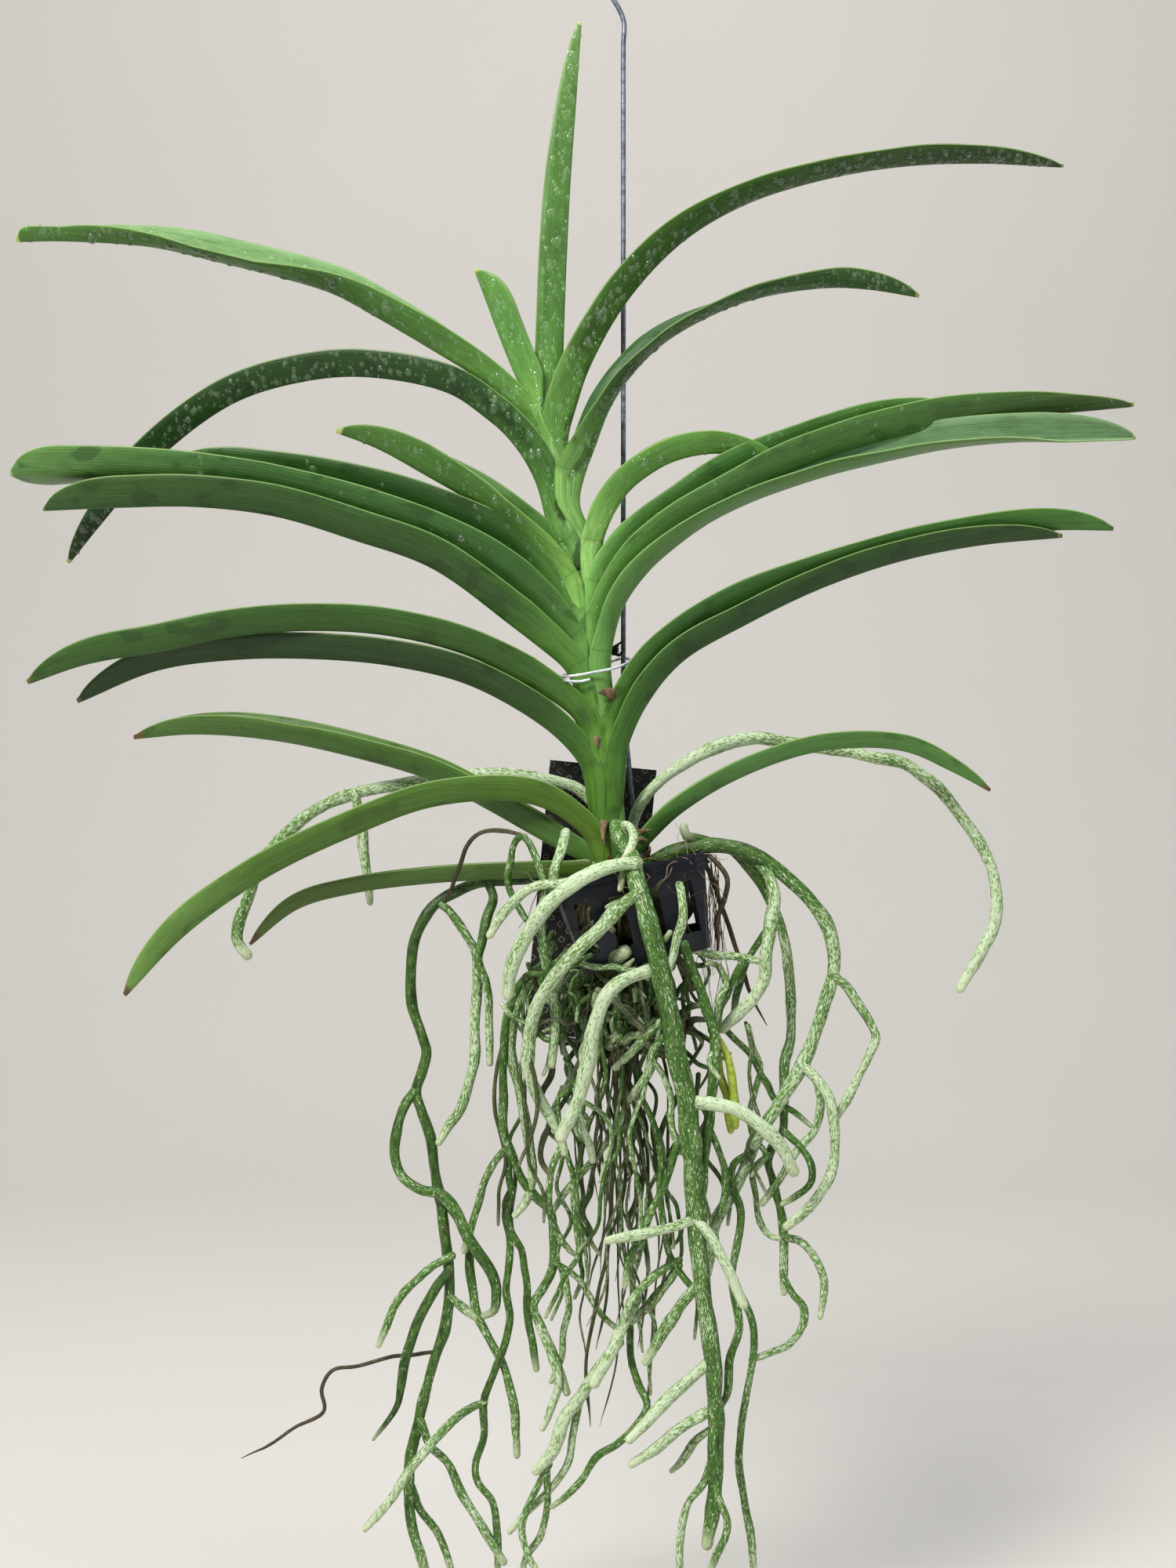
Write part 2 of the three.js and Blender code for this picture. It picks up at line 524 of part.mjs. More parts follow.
// route: [right, down] on the front drawing. depth: mm behind the stem, evenly along the route.
// radius: mm at the start, and on to the tip.
const ROOTS = [
  // The thick leading root: over the front rim, down to its silver tip.
  { route: [[786, 1054], [794, 1078], [806, 1098], [815, 1135], [826, 1175], [840, 1232], [852, 1290],
    [864, 1350], [876, 1410], [884, 1480], [889, 1560], [897, 1640], [906, 1710], [912, 1790],
    [912, 1870], [910, 1920], [902, 1970]],
  depth: [-9, -52, -56, -48, -40, -34, -30, -30], radius: [4, 4.6, 5, 5.3, 5.2, 4.6, 4.2, 3.4] },
  // Silver arc to the left, high.
  { route: [[797, 1118], [780, 1088], [768, 1050], [754, 1024], [735, 1005], [700, 995], [650, 988],
    [600, 988], [540, 996], [480, 1006], [430, 1020], [390, 1042], [355, 1072], [332, 1105],
    [318, 1140], [305, 1175], [303, 1200], [315, 1218]],
  depth: [6, 22, 27, 27, 30, 34, 32, 28, 26, 24], radius: [3, 3.2, 3.4, 3.6, 3.6, 3.4, 3.2] },
  { route: [[452, 1012], [459, 1045], [465, 1090], [472, 1151]],
    depth: [31, 30, 30], radius: [2.8, 2.9, 2.6] },
  // Silver arc to the right, high.
  { route: [[797, 1120], [803, 1088], [806, 1055], [820, 1020], [848, 992], [880, 970], [915, 952],
    [955, 943], [1000, 946], [1050, 953], [1100, 963], [1150, 973], [1190, 1000], [1228, 1045],
    [1256, 1085], [1270, 1130], [1267, 1180], [1247, 1222], [1225, 1260]],
  depth: [6, 18, 14, 12, 14, 16, 16, 14, 12, 10], radius: [3, 3.2, 3.6, 3.6, 3.4, 3.2, 3.2] },
  // Three pale roots that leave the leading root in front of the basket.
  { route: [[812, 1100], [780, 1105], [745, 1119], [712, 1143], [686, 1170], [665, 1205], [652, 1238],
    [648, 1268]], depth: [-54, -57, -56, -50, -44], radius: [3.2, 4, 4, 3.8, 3.8] },
  { route: [[816, 1138], [788, 1158], [760, 1188], [732, 1218], [705, 1248], [684, 1283], [674, 1325],
    [673, 1365], [683, 1392], [700, 1420], [714, 1450], [720, 1470]],
  depth: [-56, -58, -54, -42, -34, -30, -28], radius: [3.4, 3.8, 3.8, 3.6, 3.2, 3, 2.8] },
  { route: [[846, 1234], [815, 1242], [787, 1256], [768, 1280], [757, 1315], [750, 1355], [740, 1395],
    [728, 1425], [716, 1450]], depth: [-50, -58, -54, -48, -44], radius: [3.4, 4, 4, 3.8, 3.8] },
  // The green shoulder to the right, and its long silver hanging roots.
  { route: [[800, 1116], [822, 1106], [845, 1093], [875, 1081], [910, 1077], [940, 1082], [970, 1096],
    [1000, 1118], [1030, 1144], [1050, 1170], [1061, 1205], [1063, 1240], [1053, 1280], [1040, 1320],
    [1018, 1368], [990, 1412], [966, 1450], [950, 1490], [932, 1525], [912, 1562], [906, 1600],
    [903, 1625]],
  depth: [-4, -14, -16, -14, -12, -10, -10, -12, -14, -16],
  radius: [4, 4.2, 4, 3.8, 3.6, 3.6, 3.6, 3.4, 2.4] },
  { route: [[935, 1083], [955, 1104], [972, 1130], [984, 1152], [996, 1185], [1006, 1230], [1009, 1275],
    [1007, 1320], [1000, 1360], [1000, 1410], [998, 1442], [984, 1462], [978, 1482], [986, 1508],
    [996, 1540], [1001, 1580], [1000, 1615], [1000, 1648]],
  depth: [-12, -2, 4, 6, 4, 0, -2, -4], radius: [3, 2.9, 2.8, 2.7, 2.4, 2.4, 2.4, 2.4] },
  { route: [[962, 1095], [980, 1118], [988, 1145], [982, 1185], [976, 1220], [975, 1248], [962, 1272],
    [942, 1292], [922, 1312]], depth: [-12, -20, -24, -22, -18], radius: [2.8, 3.4, 3.4, 3.6, 3.2] },
  { route: [[1061, 1244], [1078, 1256], [1094, 1280], [1110, 1304], [1118, 1325], [1108, 1348],
    [1092, 1378], [1078, 1405], [1067, 1425]], depth: [-12, -12, -10], radius: [2.4, 2.4, 2.4] },
  { route: [[1022, 1358], [1040, 1374], [1056, 1396], [1063, 1425], [1064, 1465], [1058, 1500],
    [1042, 1528], [1025, 1548], [1004, 1564]], depth: [-12, -16, -16, -14], radius: [2.6, 2.8, 2.8] },
  { route: [[1043, 1378], [1046, 1410], [1040, 1440], [1022, 1462], [1004, 1486], [990, 1512],
    [972, 1535]], depth: [-14, -6, 0], radius: [2.2, 2.2, 2.2] },
  { route: [[873, 1404], [905, 1408], [940, 1415], [966, 1432], [988, 1455], [1002, 1476], [1012, 1494]],
    depth: [-44, -46, -40], radius: [3.2, 3.6, 3.6, 3.8] },
  { route: [[884, 1556], [855, 1566], [820, 1572], [776, 1582]], depth: [-40, -44, -46],
    radius: [2.6, 2.7, 2.9] },
  { route: [[888, 1556], [908, 1578], [928, 1618], [948, 1664]], depth: [-40, -44, -46],
    radius: [2.6, 2.8, 3] },
  { route: [[908, 1734], [870, 1768], [838, 1800], [803, 1836]], depth: [-30, -38, -44],
    radius: [3, 3.6, 3.4] },
  { route: [[910, 1796], [870, 1820], [838, 1846], [806, 1867]], depth: [-28, -34, -40],
    radius: [2.8, 3.2, 3] },
  { route: [[908, 1822], [886, 1838], [872, 1862], [857, 1876]], depth: [-26, -22, -20],
    radius: [2, 2.2, 2] },
  { route: [[908, 1862], [896, 1892], [877, 1920], [868, 1960], [866, 2015]], depth: [-30, -28, -26],
    radius: [2, 2.1, 2] },
  { route: [[908, 1872], [916, 1910], [928, 1942], [922, 1965], [905, 2005]], depth: [-32, -34, -34],
    radius: [2, 2.1, 2] },
  { route: [[873, 1205], [884, 1240], [900, 1280], [911, 1325], [909, 1380], [902, 1440], [897, 1500],
    [891, 1550]], depth: [-40, -36, -34, -38], radius: [2.8, 2.8, 2.8] },
  // The dark shoulder to the left and what hangs from it.
  { route: [[792, 1135], [760, 1128], [715, 1126], [670, 1122], [620, 1125], [580, 1138], [550, 1160],
    [530, 1195], [524, 1240], [526, 1285], [538, 1318], [545, 1342], [538, 1368], [530, 1392],
    [540, 1420], [550, 1460], [557, 1505], [564, 1552], [571, 1600], [574, 1645], [568, 1690],
    [552, 1740], [541, 1785], [530, 1830], [522, 1875], [522, 1920], [528, 1960], [545, 2010]],
  depth: [4, 20, 22, 18, 14, 12, 10, 10, 10, 8, 6, 6], radius: [2.8, 3, 3, 2.9, 2.8, 2.8, 2.9, 3, 3, 2.8] },
  { route: [[530, 1390], [516, 1412], [506, 1440], [503, 1475], [512, 1500], [535, 1516], [562, 1524],
    [582, 1545], [594, 1572], [610, 1598], [626, 1622], [634, 1648], [630, 1672], [618, 1678]],
  depth: [12, 6, 2, 0, 2, 4], radius: [2.6, 2.7, 2.9, 3.2, 3, 2.6] },
  { route: [[556, 1505], [566, 1528], [584, 1552], [598, 1590], [598, 1615], [604, 1650], [611, 1685],
    [626, 1712], [640, 1738], [652, 1775], [659, 1820], [659, 1856]], depth: [12, 8, 4, 2],
  radius: [2.4, 2.5, 2.4, 2.3, 2.4] },
  { route: [[560, 1152], [578, 1165], [597, 1196], [608, 1218], [609, 1260], [606, 1305], [607, 1345],
    [598, 1385], [588, 1415], [573, 1437], [560, 1457]], depth: [20, 12, 6, 4, 4],
  radius: [2.2, 2.5, 2.8, 2.7, 2.4] },
  { route: [[622, 1125], [629, 1145], [620, 1170], [615, 1200], [611, 1225], [620, 1255], [624, 1300],
    [625, 1356]], depth: [21, 6, 3, 2], radius: [2.4, 2.6, 2.2, 2] },
  { route: [[576, 1602], [545, 1620], [515, 1650], [496, 1683], [483, 1716]], depth: [6, 2, -2],
    radius: [2.2, 2.3, 2] },
  { route: [[574, 1618], [552, 1652], [532, 1688], [519, 1725], [511, 1765], [505, 1796], [476, 1836]],
    depth: [6, 0, -4], radius: [2.6, 2.7, 2.6, 1] },
  { route: [[536, 1812], [552, 1848], [572, 1868], [588, 1905], [610, 1940], [632, 1975], [642, 1992]],
    depth: [6, 2, 0], radius: [2.2, 2.5, 2.4] },
  { route: [[522, 1890], [536, 1926], [558, 1955], [578, 2010]], depth: [6, 10, 12], radius: [2.4, 2.2, 2] },
  { route: [[575, 1655], [590, 1668], [606, 1680]], depth: [7, 6, 5], radius: [2.4, 2.4, 2.2] },
  // Left middle strands.
  { route: [[740, 1122], [716, 1126], [695, 1128], [672, 1136], [652, 1152], [636, 1174], [625, 1193]],
    depth: [-56, -54, -52, -50], radius: [2.4, 2.6, 2.6] },
  { route: [[722, 1062], [714, 1092], [707, 1118], [706, 1140]], depth: [-30, -46, -52],
    radius: [2.6, 3, 2.8] },
  { route: [[700, 1128], [692, 1150], [690, 1185], [695, 1222], [703, 1255], [708, 1300], [704, 1358]],
    depth: [-50, -48, -40, -34], radius: [2.2, 2.6, 2.5, 2.6] },
  { route: [[694, 1127], [684, 1096], [668, 1068], [655, 1078], [648, 1108], [650, 1134], [662, 1158],
    [676, 1178], [690, 1190]], depth: [-53, -34, -30, -40], radius: [2, 1.8, 1.6] },
  { route: [[705, 1205], [690, 1235], [668, 1262], [656, 1295], [652, 1335], [660, 1380], [668, 1420],
    [674, 1455], [679, 1495], [672, 1532], [657, 1550]], depth: [-36, -24, -14, -8, -6],
  radius: [2.2, 2.6, 2.8, 2.7, 2.4] },
  { route: [[690, 1232], [662, 1258], [648, 1290], [643, 1340], [642, 1400], [643, 1440], [652, 1468],
    [662, 1500], [682, 1526], [702, 1545], [706, 1580], [705, 1615], [694, 1642], [682, 1666],
    [692, 1695], [706, 1725], [716, 1752], [723, 1776]],
  depth: [-32, -20, -10, -6, -4, -8, -10], radius: [2.2, 2.3, 2.4, 2.4, 2.3, 2.6] },
  { route: [[648, 1462], [633, 1480], [618, 1508], [610, 1540], [600, 1568], [592, 1595]],
    depth: [-8, -2, 2], radius: [2, 2.1, 2.2] },
  { route: [[648, 1460], [650, 1500], [653, 1525], [645, 1548], [650, 1580], [648, 1620], [646, 1645],
    [652, 1680], [645, 1712], [634, 1738], [624, 1765], [617, 1790], [617, 1830], [606, 1868],
    [609, 1892], [628, 1915], [633, 1950], [635, 2008]],
  depth: [-8, -2, 0, 0, 2, 6], radius: [2.1, 2.1, 2, 2, 2] },
  { route: [[652, 1518], [644, 1538], [652, 1570], [664, 1595], [671, 1625], [674, 1680], [680, 1712],
    [684, 1746]], depth: [-4, -6, -6, -4], radius: [1.9, 2, 2.1, 2.3] },
  { route: [[618, 1788], [590, 1802], [560, 1832], [530, 1866], [500, 1910], [466, 1950]],
    depth: [0, -4, -8], radius: [2.3, 2.6, 2.4] },
  // Middle strands below the basket.
  { route: [[716, 1462], [703, 1500], [700, 1540], [712, 1575], [728, 1596], [736, 1602]],
    depth: [-28, -22, -18], radius: [1.9, 1.9, 1.5] },
  { route: [[722, 1468], [730, 1500], [732, 1545], [738, 1600], [722, 1626], [696, 1680]],
    depth: [-28, -24, -20], radius: [1.5, 1.5, 1.2] },
  { route: [[738, 1398], [732, 1380], [722, 1395], [712, 1400], [713, 1430], [718, 1452]],
    depth: [-47, -34, -30], radius: [1.3, 1.3, 1.3] },
  { route: [[735, 1412], [745, 1440], [753, 1462], [756, 1480]], depth: [-47, -34, -28],
    radius: [1.8, 2.2, 2.2] },
  { route: [[803, 1399], [786, 1440], [765, 1470], [742, 1495], [722, 1520], [705, 1545]],
    depth: [-24, -20, -14], radius: [1.8, 2, 1.8] },
  { route: [[706, 1610], [735, 1628], [752, 1652], [768, 1678], [790, 1698]], depth: [-8, -8, -10],
    radius: [1.8, 1.8, 1.6] },
  { route: [[720, 1625], [725, 1660], [718, 1700], [716, 1735], [703, 1762]], depth: [-10, -8, -6],
    radius: [1.8, 1.8, 1.6] },
  { route: [[688, 1692], [703, 1730], [712, 1762], [704, 1795], [692, 1822]], depth: [-8, -12, -14],
    radius: [2, 2.2, 2] },
  { route: [[812, 1660], [795, 1690], [777, 1728], [758, 1764]], depth: [-20, -32, -36],
    radius: [2.6, 3.3, 3.4] },
  { route: [[790, 1712], [762, 1748], [738, 1785], [716, 1818], [706, 1850], [684, 1876]],
    depth: [-28, -22, -20, -22], radius: [2.6, 3.2, 3.6, 3.2] },
  { route: [[740, 1784], [731, 1830], [724, 1868], [705, 1896], [680, 1922], [650, 1954]],
    depth: [-18, -14, -14], radius: [2, 2.2, 1.8] },
  { route: [[700, 1868], [680, 1906], [665, 1946], [672, 1978], [688, 2010]], depth: [-18, -20, -22],
    radius: [1.9, 2, 1.8] },
  { route: [[697, 1870], [698, 1920], [690, 1958], [672, 1985], [664, 2014]], depth: [-18, -10, -6],
    radius: [1.9, 2, 1.8] },
  // Right middle strands.
  { route: [[856, 1130], [866, 1128], [870, 1150], [869, 1185], [860, 1212], [852, 1242]],
    depth: [-24, -56, -56, -52], radius: [2.2, 2.5, 2.5, 2.4] },
  { route: [[864, 1460], [848, 1512], [830, 1548], [816, 1580], [802, 1606], [797, 1640]],
    depth: [-40, -40, -34], radius: [1.9, 2, 1.9] },
  { route: [[818, 1400], [834, 1432], [842, 1480], [842, 1520], [847, 1566], [853, 1600], [872, 1630],
    [898, 1655]], depth: [-20, -22, -24, -32], radius: [1.7, 1.8, 1.8] },
  { route: [[866, 1608], [838, 1624], [812, 1652], [796, 1680], [784, 1710]], depth: [-26, -30, -28],
    radius: [2.2, 2.5, 2.2] },
  { route: [[890, 1640], [866, 1668], [846, 1700], [824, 1736]], depth: [-34, -30, -26],
    radius: [2.8, 3.3, 3] },
  { route: [[866, 1614], [845, 1645], [822, 1672], [800, 1690]], depth: [-26, -20, -18],
    radius: [2.2, 2.6, 2.4] },
  { route: [[803, 1680], [804, 1735], [815, 1768], [826, 1792], [812, 1818], [788, 1840], [760, 1858],
    [742, 1886], [725, 1905], [704, 1922]], depth: [-18, -24, -22, -18], radius: [1.9, 2, 2, 1.6] },
  { route: [[850, 1300], [824, 1322], [802, 1346], [785, 1362]], depth: [-44, -36, -30],
    radius: [2.2, 2.5, 2] },
  { route: [[842, 1305], [836, 1340], [820, 1378], [802, 1402]], depth: [-42, -32, -24],
    radius: [2.2, 2.3, 2.2] },
  { route: [[858, 1310], [832, 1345], [845, 1372], [856, 1402], [858, 1440], [868, 1470]],
    depth: [-46, -34, -38], radius: [1.8, 1.8, 1.8] },
  { route: [[905, 1440], [915, 1465], [925, 1495], [922, 1535], [906, 1570]], depth: [-34, -28, -26],
    radius: [1.8, 2, 1.8] },
  { route: [[958, 1470], [935, 1485], [932, 1510], [945, 1545], [940, 1590], [934, 1630], [940, 1668],
    [942, 1700], [930, 1735], [926, 1780], [912, 1806]], depth: [-16, -18, -22, -26],
  radius: [2, 2.1, 2.2, 2.2] },
  { route: [[935, 1640], [950, 1662], [960, 1692], [960, 1735], [952, 1780], [945, 1815], [943, 1870],
    [950, 1915], [958, 1960], [962, 2012]], depth: [-22, -14, -10, -8], radius: [2, 2.1, 2.1] },
  { route: [[999, 1628], [1010, 1648], [1025, 1668], [1024, 1692], [1004, 1715], [982, 1725],
    [958, 1735]], depth: [-6, -8, -12], radius: [1.9, 2.1, 1.8] },
  { route: [[1000, 1578], [1022, 1584], [1038, 1604], [1050, 1632], [1050, 1655], [1046, 1680]],
    depth: [-5, -8, -10], radius: [1.9, 2.1, 2] },
  { route: [[1000, 1442], [1018, 1462], [1034, 1482], [1032, 1508], [1014, 1526], [998, 1536]],
    depth: [-5, -12, -5], radius: [1.9, 2, 1.9] },
  { route: [[980, 1474], [960, 1492], [964, 1525], [968, 1558], [982, 1576], [1000, 1580]],
    depth: [-5, 4, -4], radius: [1.7, 1.8, 1.6] },
  { route: [[922, 1310], [945, 1332], [962, 1352], [975, 1378], [990, 1405], [1012, 1418], [1034, 1436]],
    depth: [-18, -8, -8], radius: [1.7, 1.8, 1.6] },
  { route: [[878, 1210], [905, 1218], [935, 1220], [976, 1228]], depth: [-38, -26, -22],
    radius: [2, 2.4, 2] },
  { route: [[975, 1190], [955, 1222], [942, 1262], [935, 1296]], depth: [-20, -12, -18],
    radius: [1.8, 2, 1.8] },
  { route: [[948, 1225], [930, 1262], [918, 1290], [910, 1330]], depth: [-24, -20, -32],
    radius: [1.8, 2, 1.8] },
  // Two yellow tips and the old wiry roots.
  { route: [[914, 1330], [918, 1365], [926, 1400], [932, 1442]], depth: [-30, -24, -22],
    radius: [1.8, 2.4, 2.2] },
  { route: [[916, 1325], [930, 1352], [936, 1395], [938, 1436]], depth: [-32, -28, -26],
    radius: [1.8, 2.4, 2.6] },
  { route: [[888, 1082], [905, 1112], [920, 1155], [935, 1198], [948, 1236], [962, 1275], [978, 1308]],
    depth: [-14, -6, -12, -10], radius: [1.3, 1.3, 1.1, 0.9] },
  { route: [[890, 1082], [912, 1098], [928, 1120], [924, 1148], [915, 1175], [916, 1205], [914, 1222]],
    depth: [-14, -20, -26], radius: [1.4, 1.5, 1.4] },
  { route: [[557, 1724], [510, 1730], [460, 1742], [425, 1748], [410, 1772], [412, 1800], [375, 1822],
    [345, 1842], [308, 1860]], depth: [10, 4, 0], radius: [1.1, 1.1, 0.9] },
  { route: [[670, 1066], [645, 1060], [615, 1062], [596, 1078], [585, 1108], [574, 1135], [566, 1152]],
    depth: [-37, -10, 14], radius: [1.1, 1.2, 1.2] },
];

// Old wiry roots that hang in a loose bunch from the slots in the basket's floor.
const BUNCH = { count: 7, foot: 1720, shortest: 260, right: 790, sway: 26, radius: 1.1 };
const SEED = 7;

function randomFrom(seed) {
  let state = seed;
  return () => {
    state = (state * 16807) % 2147483647;
    return state / 2147483647;
  };
}

function bunchRoots() {
  const random = randomFrom(SEED);
  return Array.from({ length: BUNCH.count }, (_, k) => {
    const offset = FLOOR_SLOTS[k % FLOOR_SLOTS.length];
    const depth = -14 + 28 * random();
    const inside = inBasket(offset, depth, FOOT + 10);
    const outside = inBasket(offset, depth, FOOT - 9);
    const foot = BUNCH.foot - BUNCH.shortest * random();
    const hanging = Array.from({ length: 6 }, (_, i) => {
      const along = (i + 1) / 6;
      const right = BUNCH.right + (random() - 0.5) * 2 * BUNCH.sway;
      return place([right, THREE.MathUtils.lerp(1250, foot, along)], -16 + 10 * (random() - 0.5));
    });
    return solid(bar([inside, outside, ...hanging], [BUNCH.radius, 0.9], 4, 1));
  });
}

// Roots that grow out through the basket's slots: side of the basket, slot offset, drop and lean.
const SLOT_ROOTS = [
  { turn: 0, offset: -27, drop: 55, lean: -8, radius: 2.4 },
  { turn: 0, offset: -9, drop: 34, lean: 6, radius: 2.2 },
  { turn: 0, offset: 9, drop: 42, lean: -5, radius: 2.2 },
  { turn: 1, offset: -9, drop: 70, lean: 10, radius: 2.5 },
  { turn: 1, offset: 27, drop: 48, lean: 4, radius: 2.2 },
  { turn: 3, offset: 9, drop: 66, lean: -9, radius: 2.4 },
  { turn: 3, offset: -27, drop: 40, lean: 5, radius: 2.2 },
  { turn: 2, offset: -27, drop: 120, lean: 7, radius: 2.5 },
  { turn: 2, offset: -9, drop: 96, lean: -6, radius: 2.4 },
];

function slotRoot({ turn, offset, drop, lean, radius }) {
  const around = new THREE.Matrix4().makeRotationZ(turn * Math.PI / 2);
  const local = [
    [offset * 0.5, -8, SLOT_MIDDLE + 3], [offset, -30, SLOT_MIDDLE + 2], [offset, -42, SLOT_MIDDLE]];
  const points = local.map((point) => {
    const inside = new THREE.Vector3(...point).applyMatrix4(around);
    return inside.applyMatrix4(basketTurn);
  });
  const outward = points[2].clone().sub(points[1]).setZ(0).normalize();
  const bend = points[2].clone().addScaledVector(outward, 7).add(new THREE.Vector3(0, 0, -8));
  const low = bend.clone().add(new THREE.Vector3(lean * 0.5, 0, -drop * 0.5)).addScaledVector(outward, 2);
  const tip = bend.clone().add(new THREE.Vector3(lean, 0, -drop)).addScaledVector(outward, -4);
  return solid(bar([...points, bend, low, tip], [radius, radius, radius * 0.85], 5, 1));
}

const ROOT_TOLERANCE = 1.2;
const SLIM_ROOT = 3; // a root no thicker than this radius has four faces, a thicker one five

// The numbers of the points that a line through them bends at, by more than the tolerance.
function bends(points, first = 0, last = points.length - 1) {
  const line = new THREE.Line3(points[first], points[last]);
  let worst = ROOT_TOLERANCE;
  let at = -1;
  for (let i = first + 1; i < last; i += 1) {
    const off = line.closestPointToPoint(points[i], true, new THREE.Vector3()).distanceTo(points[i]);
    if (off > worst) {
      worst = off;
      at = i;
    }
  }
  return at < 0 ? [first, last] : [...bends(points, first, at), ...bends(points, at, last).slice(1)];
}

function rootSolid({ route, depth, radius }) {
  const points = route.map((point, i) => place(point, evenly(depth, i / (route.length - 1))));
  const kept = bends(points);
  const radii = kept.map((i) => evenly(radius, i / (route.length - 1)));
  return solid(bar(kept.map((i) => points[i]), radii, Math.max(...radius) < SLIM_ROOT ? 4 : 5, 1));
}

const CROWN = [[793, 1109], [796, 1122], [802, 1140]];
const JOINT_EASE = 0.2; // the slivers where roots join are eased by up to this

function rootsSolid(cutters) {
  const crownPoints = CROWN.map((point) => place(point, -2));
  const crown = solid(bar(crownPoints, [7, 11, 13], 10, 1, 1));
  const grown = [...ROOTS.map(rootSolid), ...bunchRoots(), ...SLOT_ROOTS.map(slotRoot)];
  const whole = join([rootBall(), crown, ...grown]);
  const cut = cutters.reduce((rest, cutter) => rest.subtract(cutter), whole.simplify(JOINT_EASE));
  return cut.simplify(JOINT_EASE / 2);
}

// ---------------------------------------------------------------- hanger, tie and card

const HOOK_RADIUS = HOOK_BORE / 2 + WIRE / 2;
const SHANK_LEVELS = [-34, -50, -385, -404]; // below the hanging point, on a straight line

// The hook's bow over the hanging point, from its open end round to the shank.
function hookPoints() {
  const points = [];
  for (let degrees = -35; degrees <= 215; degrees += 31.25) {
    const angle = THREE.MathUtils.degToRad(degrees);
    points.push(new THREE.Vector3(
      HOOK_RADIUS * Math.cos(angle), 0, -HOOK_BORE / 2 + HOOK_RADIUS * Math.sin(angle)));
  }
  return points.map((point) => point.add(HOOK_POINT));
}

const BACK_WALL = WALL_HALF_TOP - 4.6; // the back wall's outer face at the clip's slot, basket frame
const CLIP_RISE = 22;
const CLIP_SLOT = SLOT_OFFSETS[2];
const CARD_PLANE = BASKET_RIM / 2 + 0.6 + GAP + CARD_THICKNESS / 2; // basket frame, behind the rim

function hangerPoints() {
  const shank = SHANK_LEVELS.map((z) => HOOK_POINT.clone().add(new THREE.Vector3(0, 0, z)));
  const legDepth = CARD_PLANE + CARD_THICKNESS / 2 + GAP + WIRE / 2;
  const insideDepth = BACK_WALL - BASKET_WALL - GAP - WIRE / 2 - 1;
  const clip = [
    inBasket(CLIP_SLOT, insideDepth, TOP + 6),
    inBasket(CLIP_SLOT, insideDepth, SLOT_MIDDLE + 9),
    inBasket(CLIP_SLOT, insideDepth + 3, SLOT_MIDDLE + 2),
    inBasket(CLIP_SLOT, (insideDepth + legDepth) / 2, SLOT_MIDDLE - 1),
    inBasket(CLIP_SLOT, legDepth - 3, SLOT_MIDDLE + 2),
    inBasket(CLIP_SLOT, legDepth, SLOT_MIDDLE + 9),
    inBasket(CLIP_SLOT, legDepth, SLOT_MIDDLE + CLIP_RISE),
  ];
  return [...hookPoints(), ...shank, ...clip];
}

function hangerSolid(grow) {
  const radius = WIRE / 2 + grow;
  return solid(bar(hangerPoints(), [radius, radius], 8, 2, 1));
}

// The tie's loop in plan, [right, back] in mm from the stem's axis: round the stem and the hanger.
const TIE_PLAN = [
  [-27, 2], [-21, -9], [-9, -13], [3, -13.5], [13, -9], [18, 6], [18.4, 18], [15, 23.6], [9.5, 21.5],
  [0, 15], [-13, 12.5], [-23, 9],
];
const TIE_RIGHT = 763;
const TIE_DOWN = 856;
const TIE_SLOPE = 0.115;

function tieSolid(grow) {
  const centre = place([TIE_RIGHT, TIE_DOWN], 0);
  const points = TIE_PLAN.map(([right, back]) =>
    new THREE.Vector3(centre.x + right, back, centre.z + right * TIE_SLOPE));
  const loop = new THREE.CatmullRomCurve3(points, true, "centripetal");
  const radius = TIE_WIRE / 2 + grow;
  const corners = Array.from({ length: 6 }, (_, i) =>
    new THREE.Vector2(radius, 0).rotateAround(new THREE.Vector2(), (Math.PI * i) / 3));
  const geometry = new THREE.ExtrudeGeometry(new THREE.Shape(corners), {
    steps: 25, bevelEnabled: false, extrudePath: loop,
  });
  return solid(geometry);
}

function cardSolid() {
  const geometry = new THREE.BoxGeometry(CARD_WIDTH, CARD_THICKNESS, CARD_HEIGHT);
  geometry.rotateY(-CARD_TILT);
  const middle = place([753, 1154], 0);
  const depth = inBasket(0, CARD_PLANE, 0).y;
  geometry.translate(middle.x, depth, middle.z);
  return solid(geometry);
}

// ---------------------------------------------------------------- the whole plant

const plant = new THREE.Group();

function add(name, manifold, itsMaterial) {
  const geometry = geometryOf(manifold);
  geometry.translate(-HOOK_POINT.x, -HOOK_POINT.y, -HOOK_POINT.z);
  geometry.computeVertexNormals();
  const mesh = new THREE.Mesh(geometry, itsMaterial);
  mesh.name = name;
  plant.add(mesh);
}

const DIVIDER_TOP = 525;
const DIVIDER_FOOT = 1130;

// A thin wall along the stem's axis: no leaf's base reaches over it to the other rank.
function rankDivider() {
  const half = 0.4;
  const heights = [DIVIDER_TOP, STEM_TOP, 620, 690, 760, 860, 960, 1060, STEM_FOOT, DIVIDER_FOOT];
  const rings = heights.map((down) => {
    const centre = stemCentre(down);
    const z = place([0, down], 0).z;
    return [[-half, -40], [half, -40], [half, 40], [-half, 40]].map(([x, y]) =>
      new THREE.Vector3(centre.x + x, y, z));
  });
  return solid(loft(rings, fan(4)));
}

const stemClearance = stemSolid(GAP);
const hangerClearance = hangerSolid(GAP);
const leafCutter = join([stemClearance, tieSolid(GAP), hangerClearance]);
const sideCutter = leafCutter.add(rankDivider());

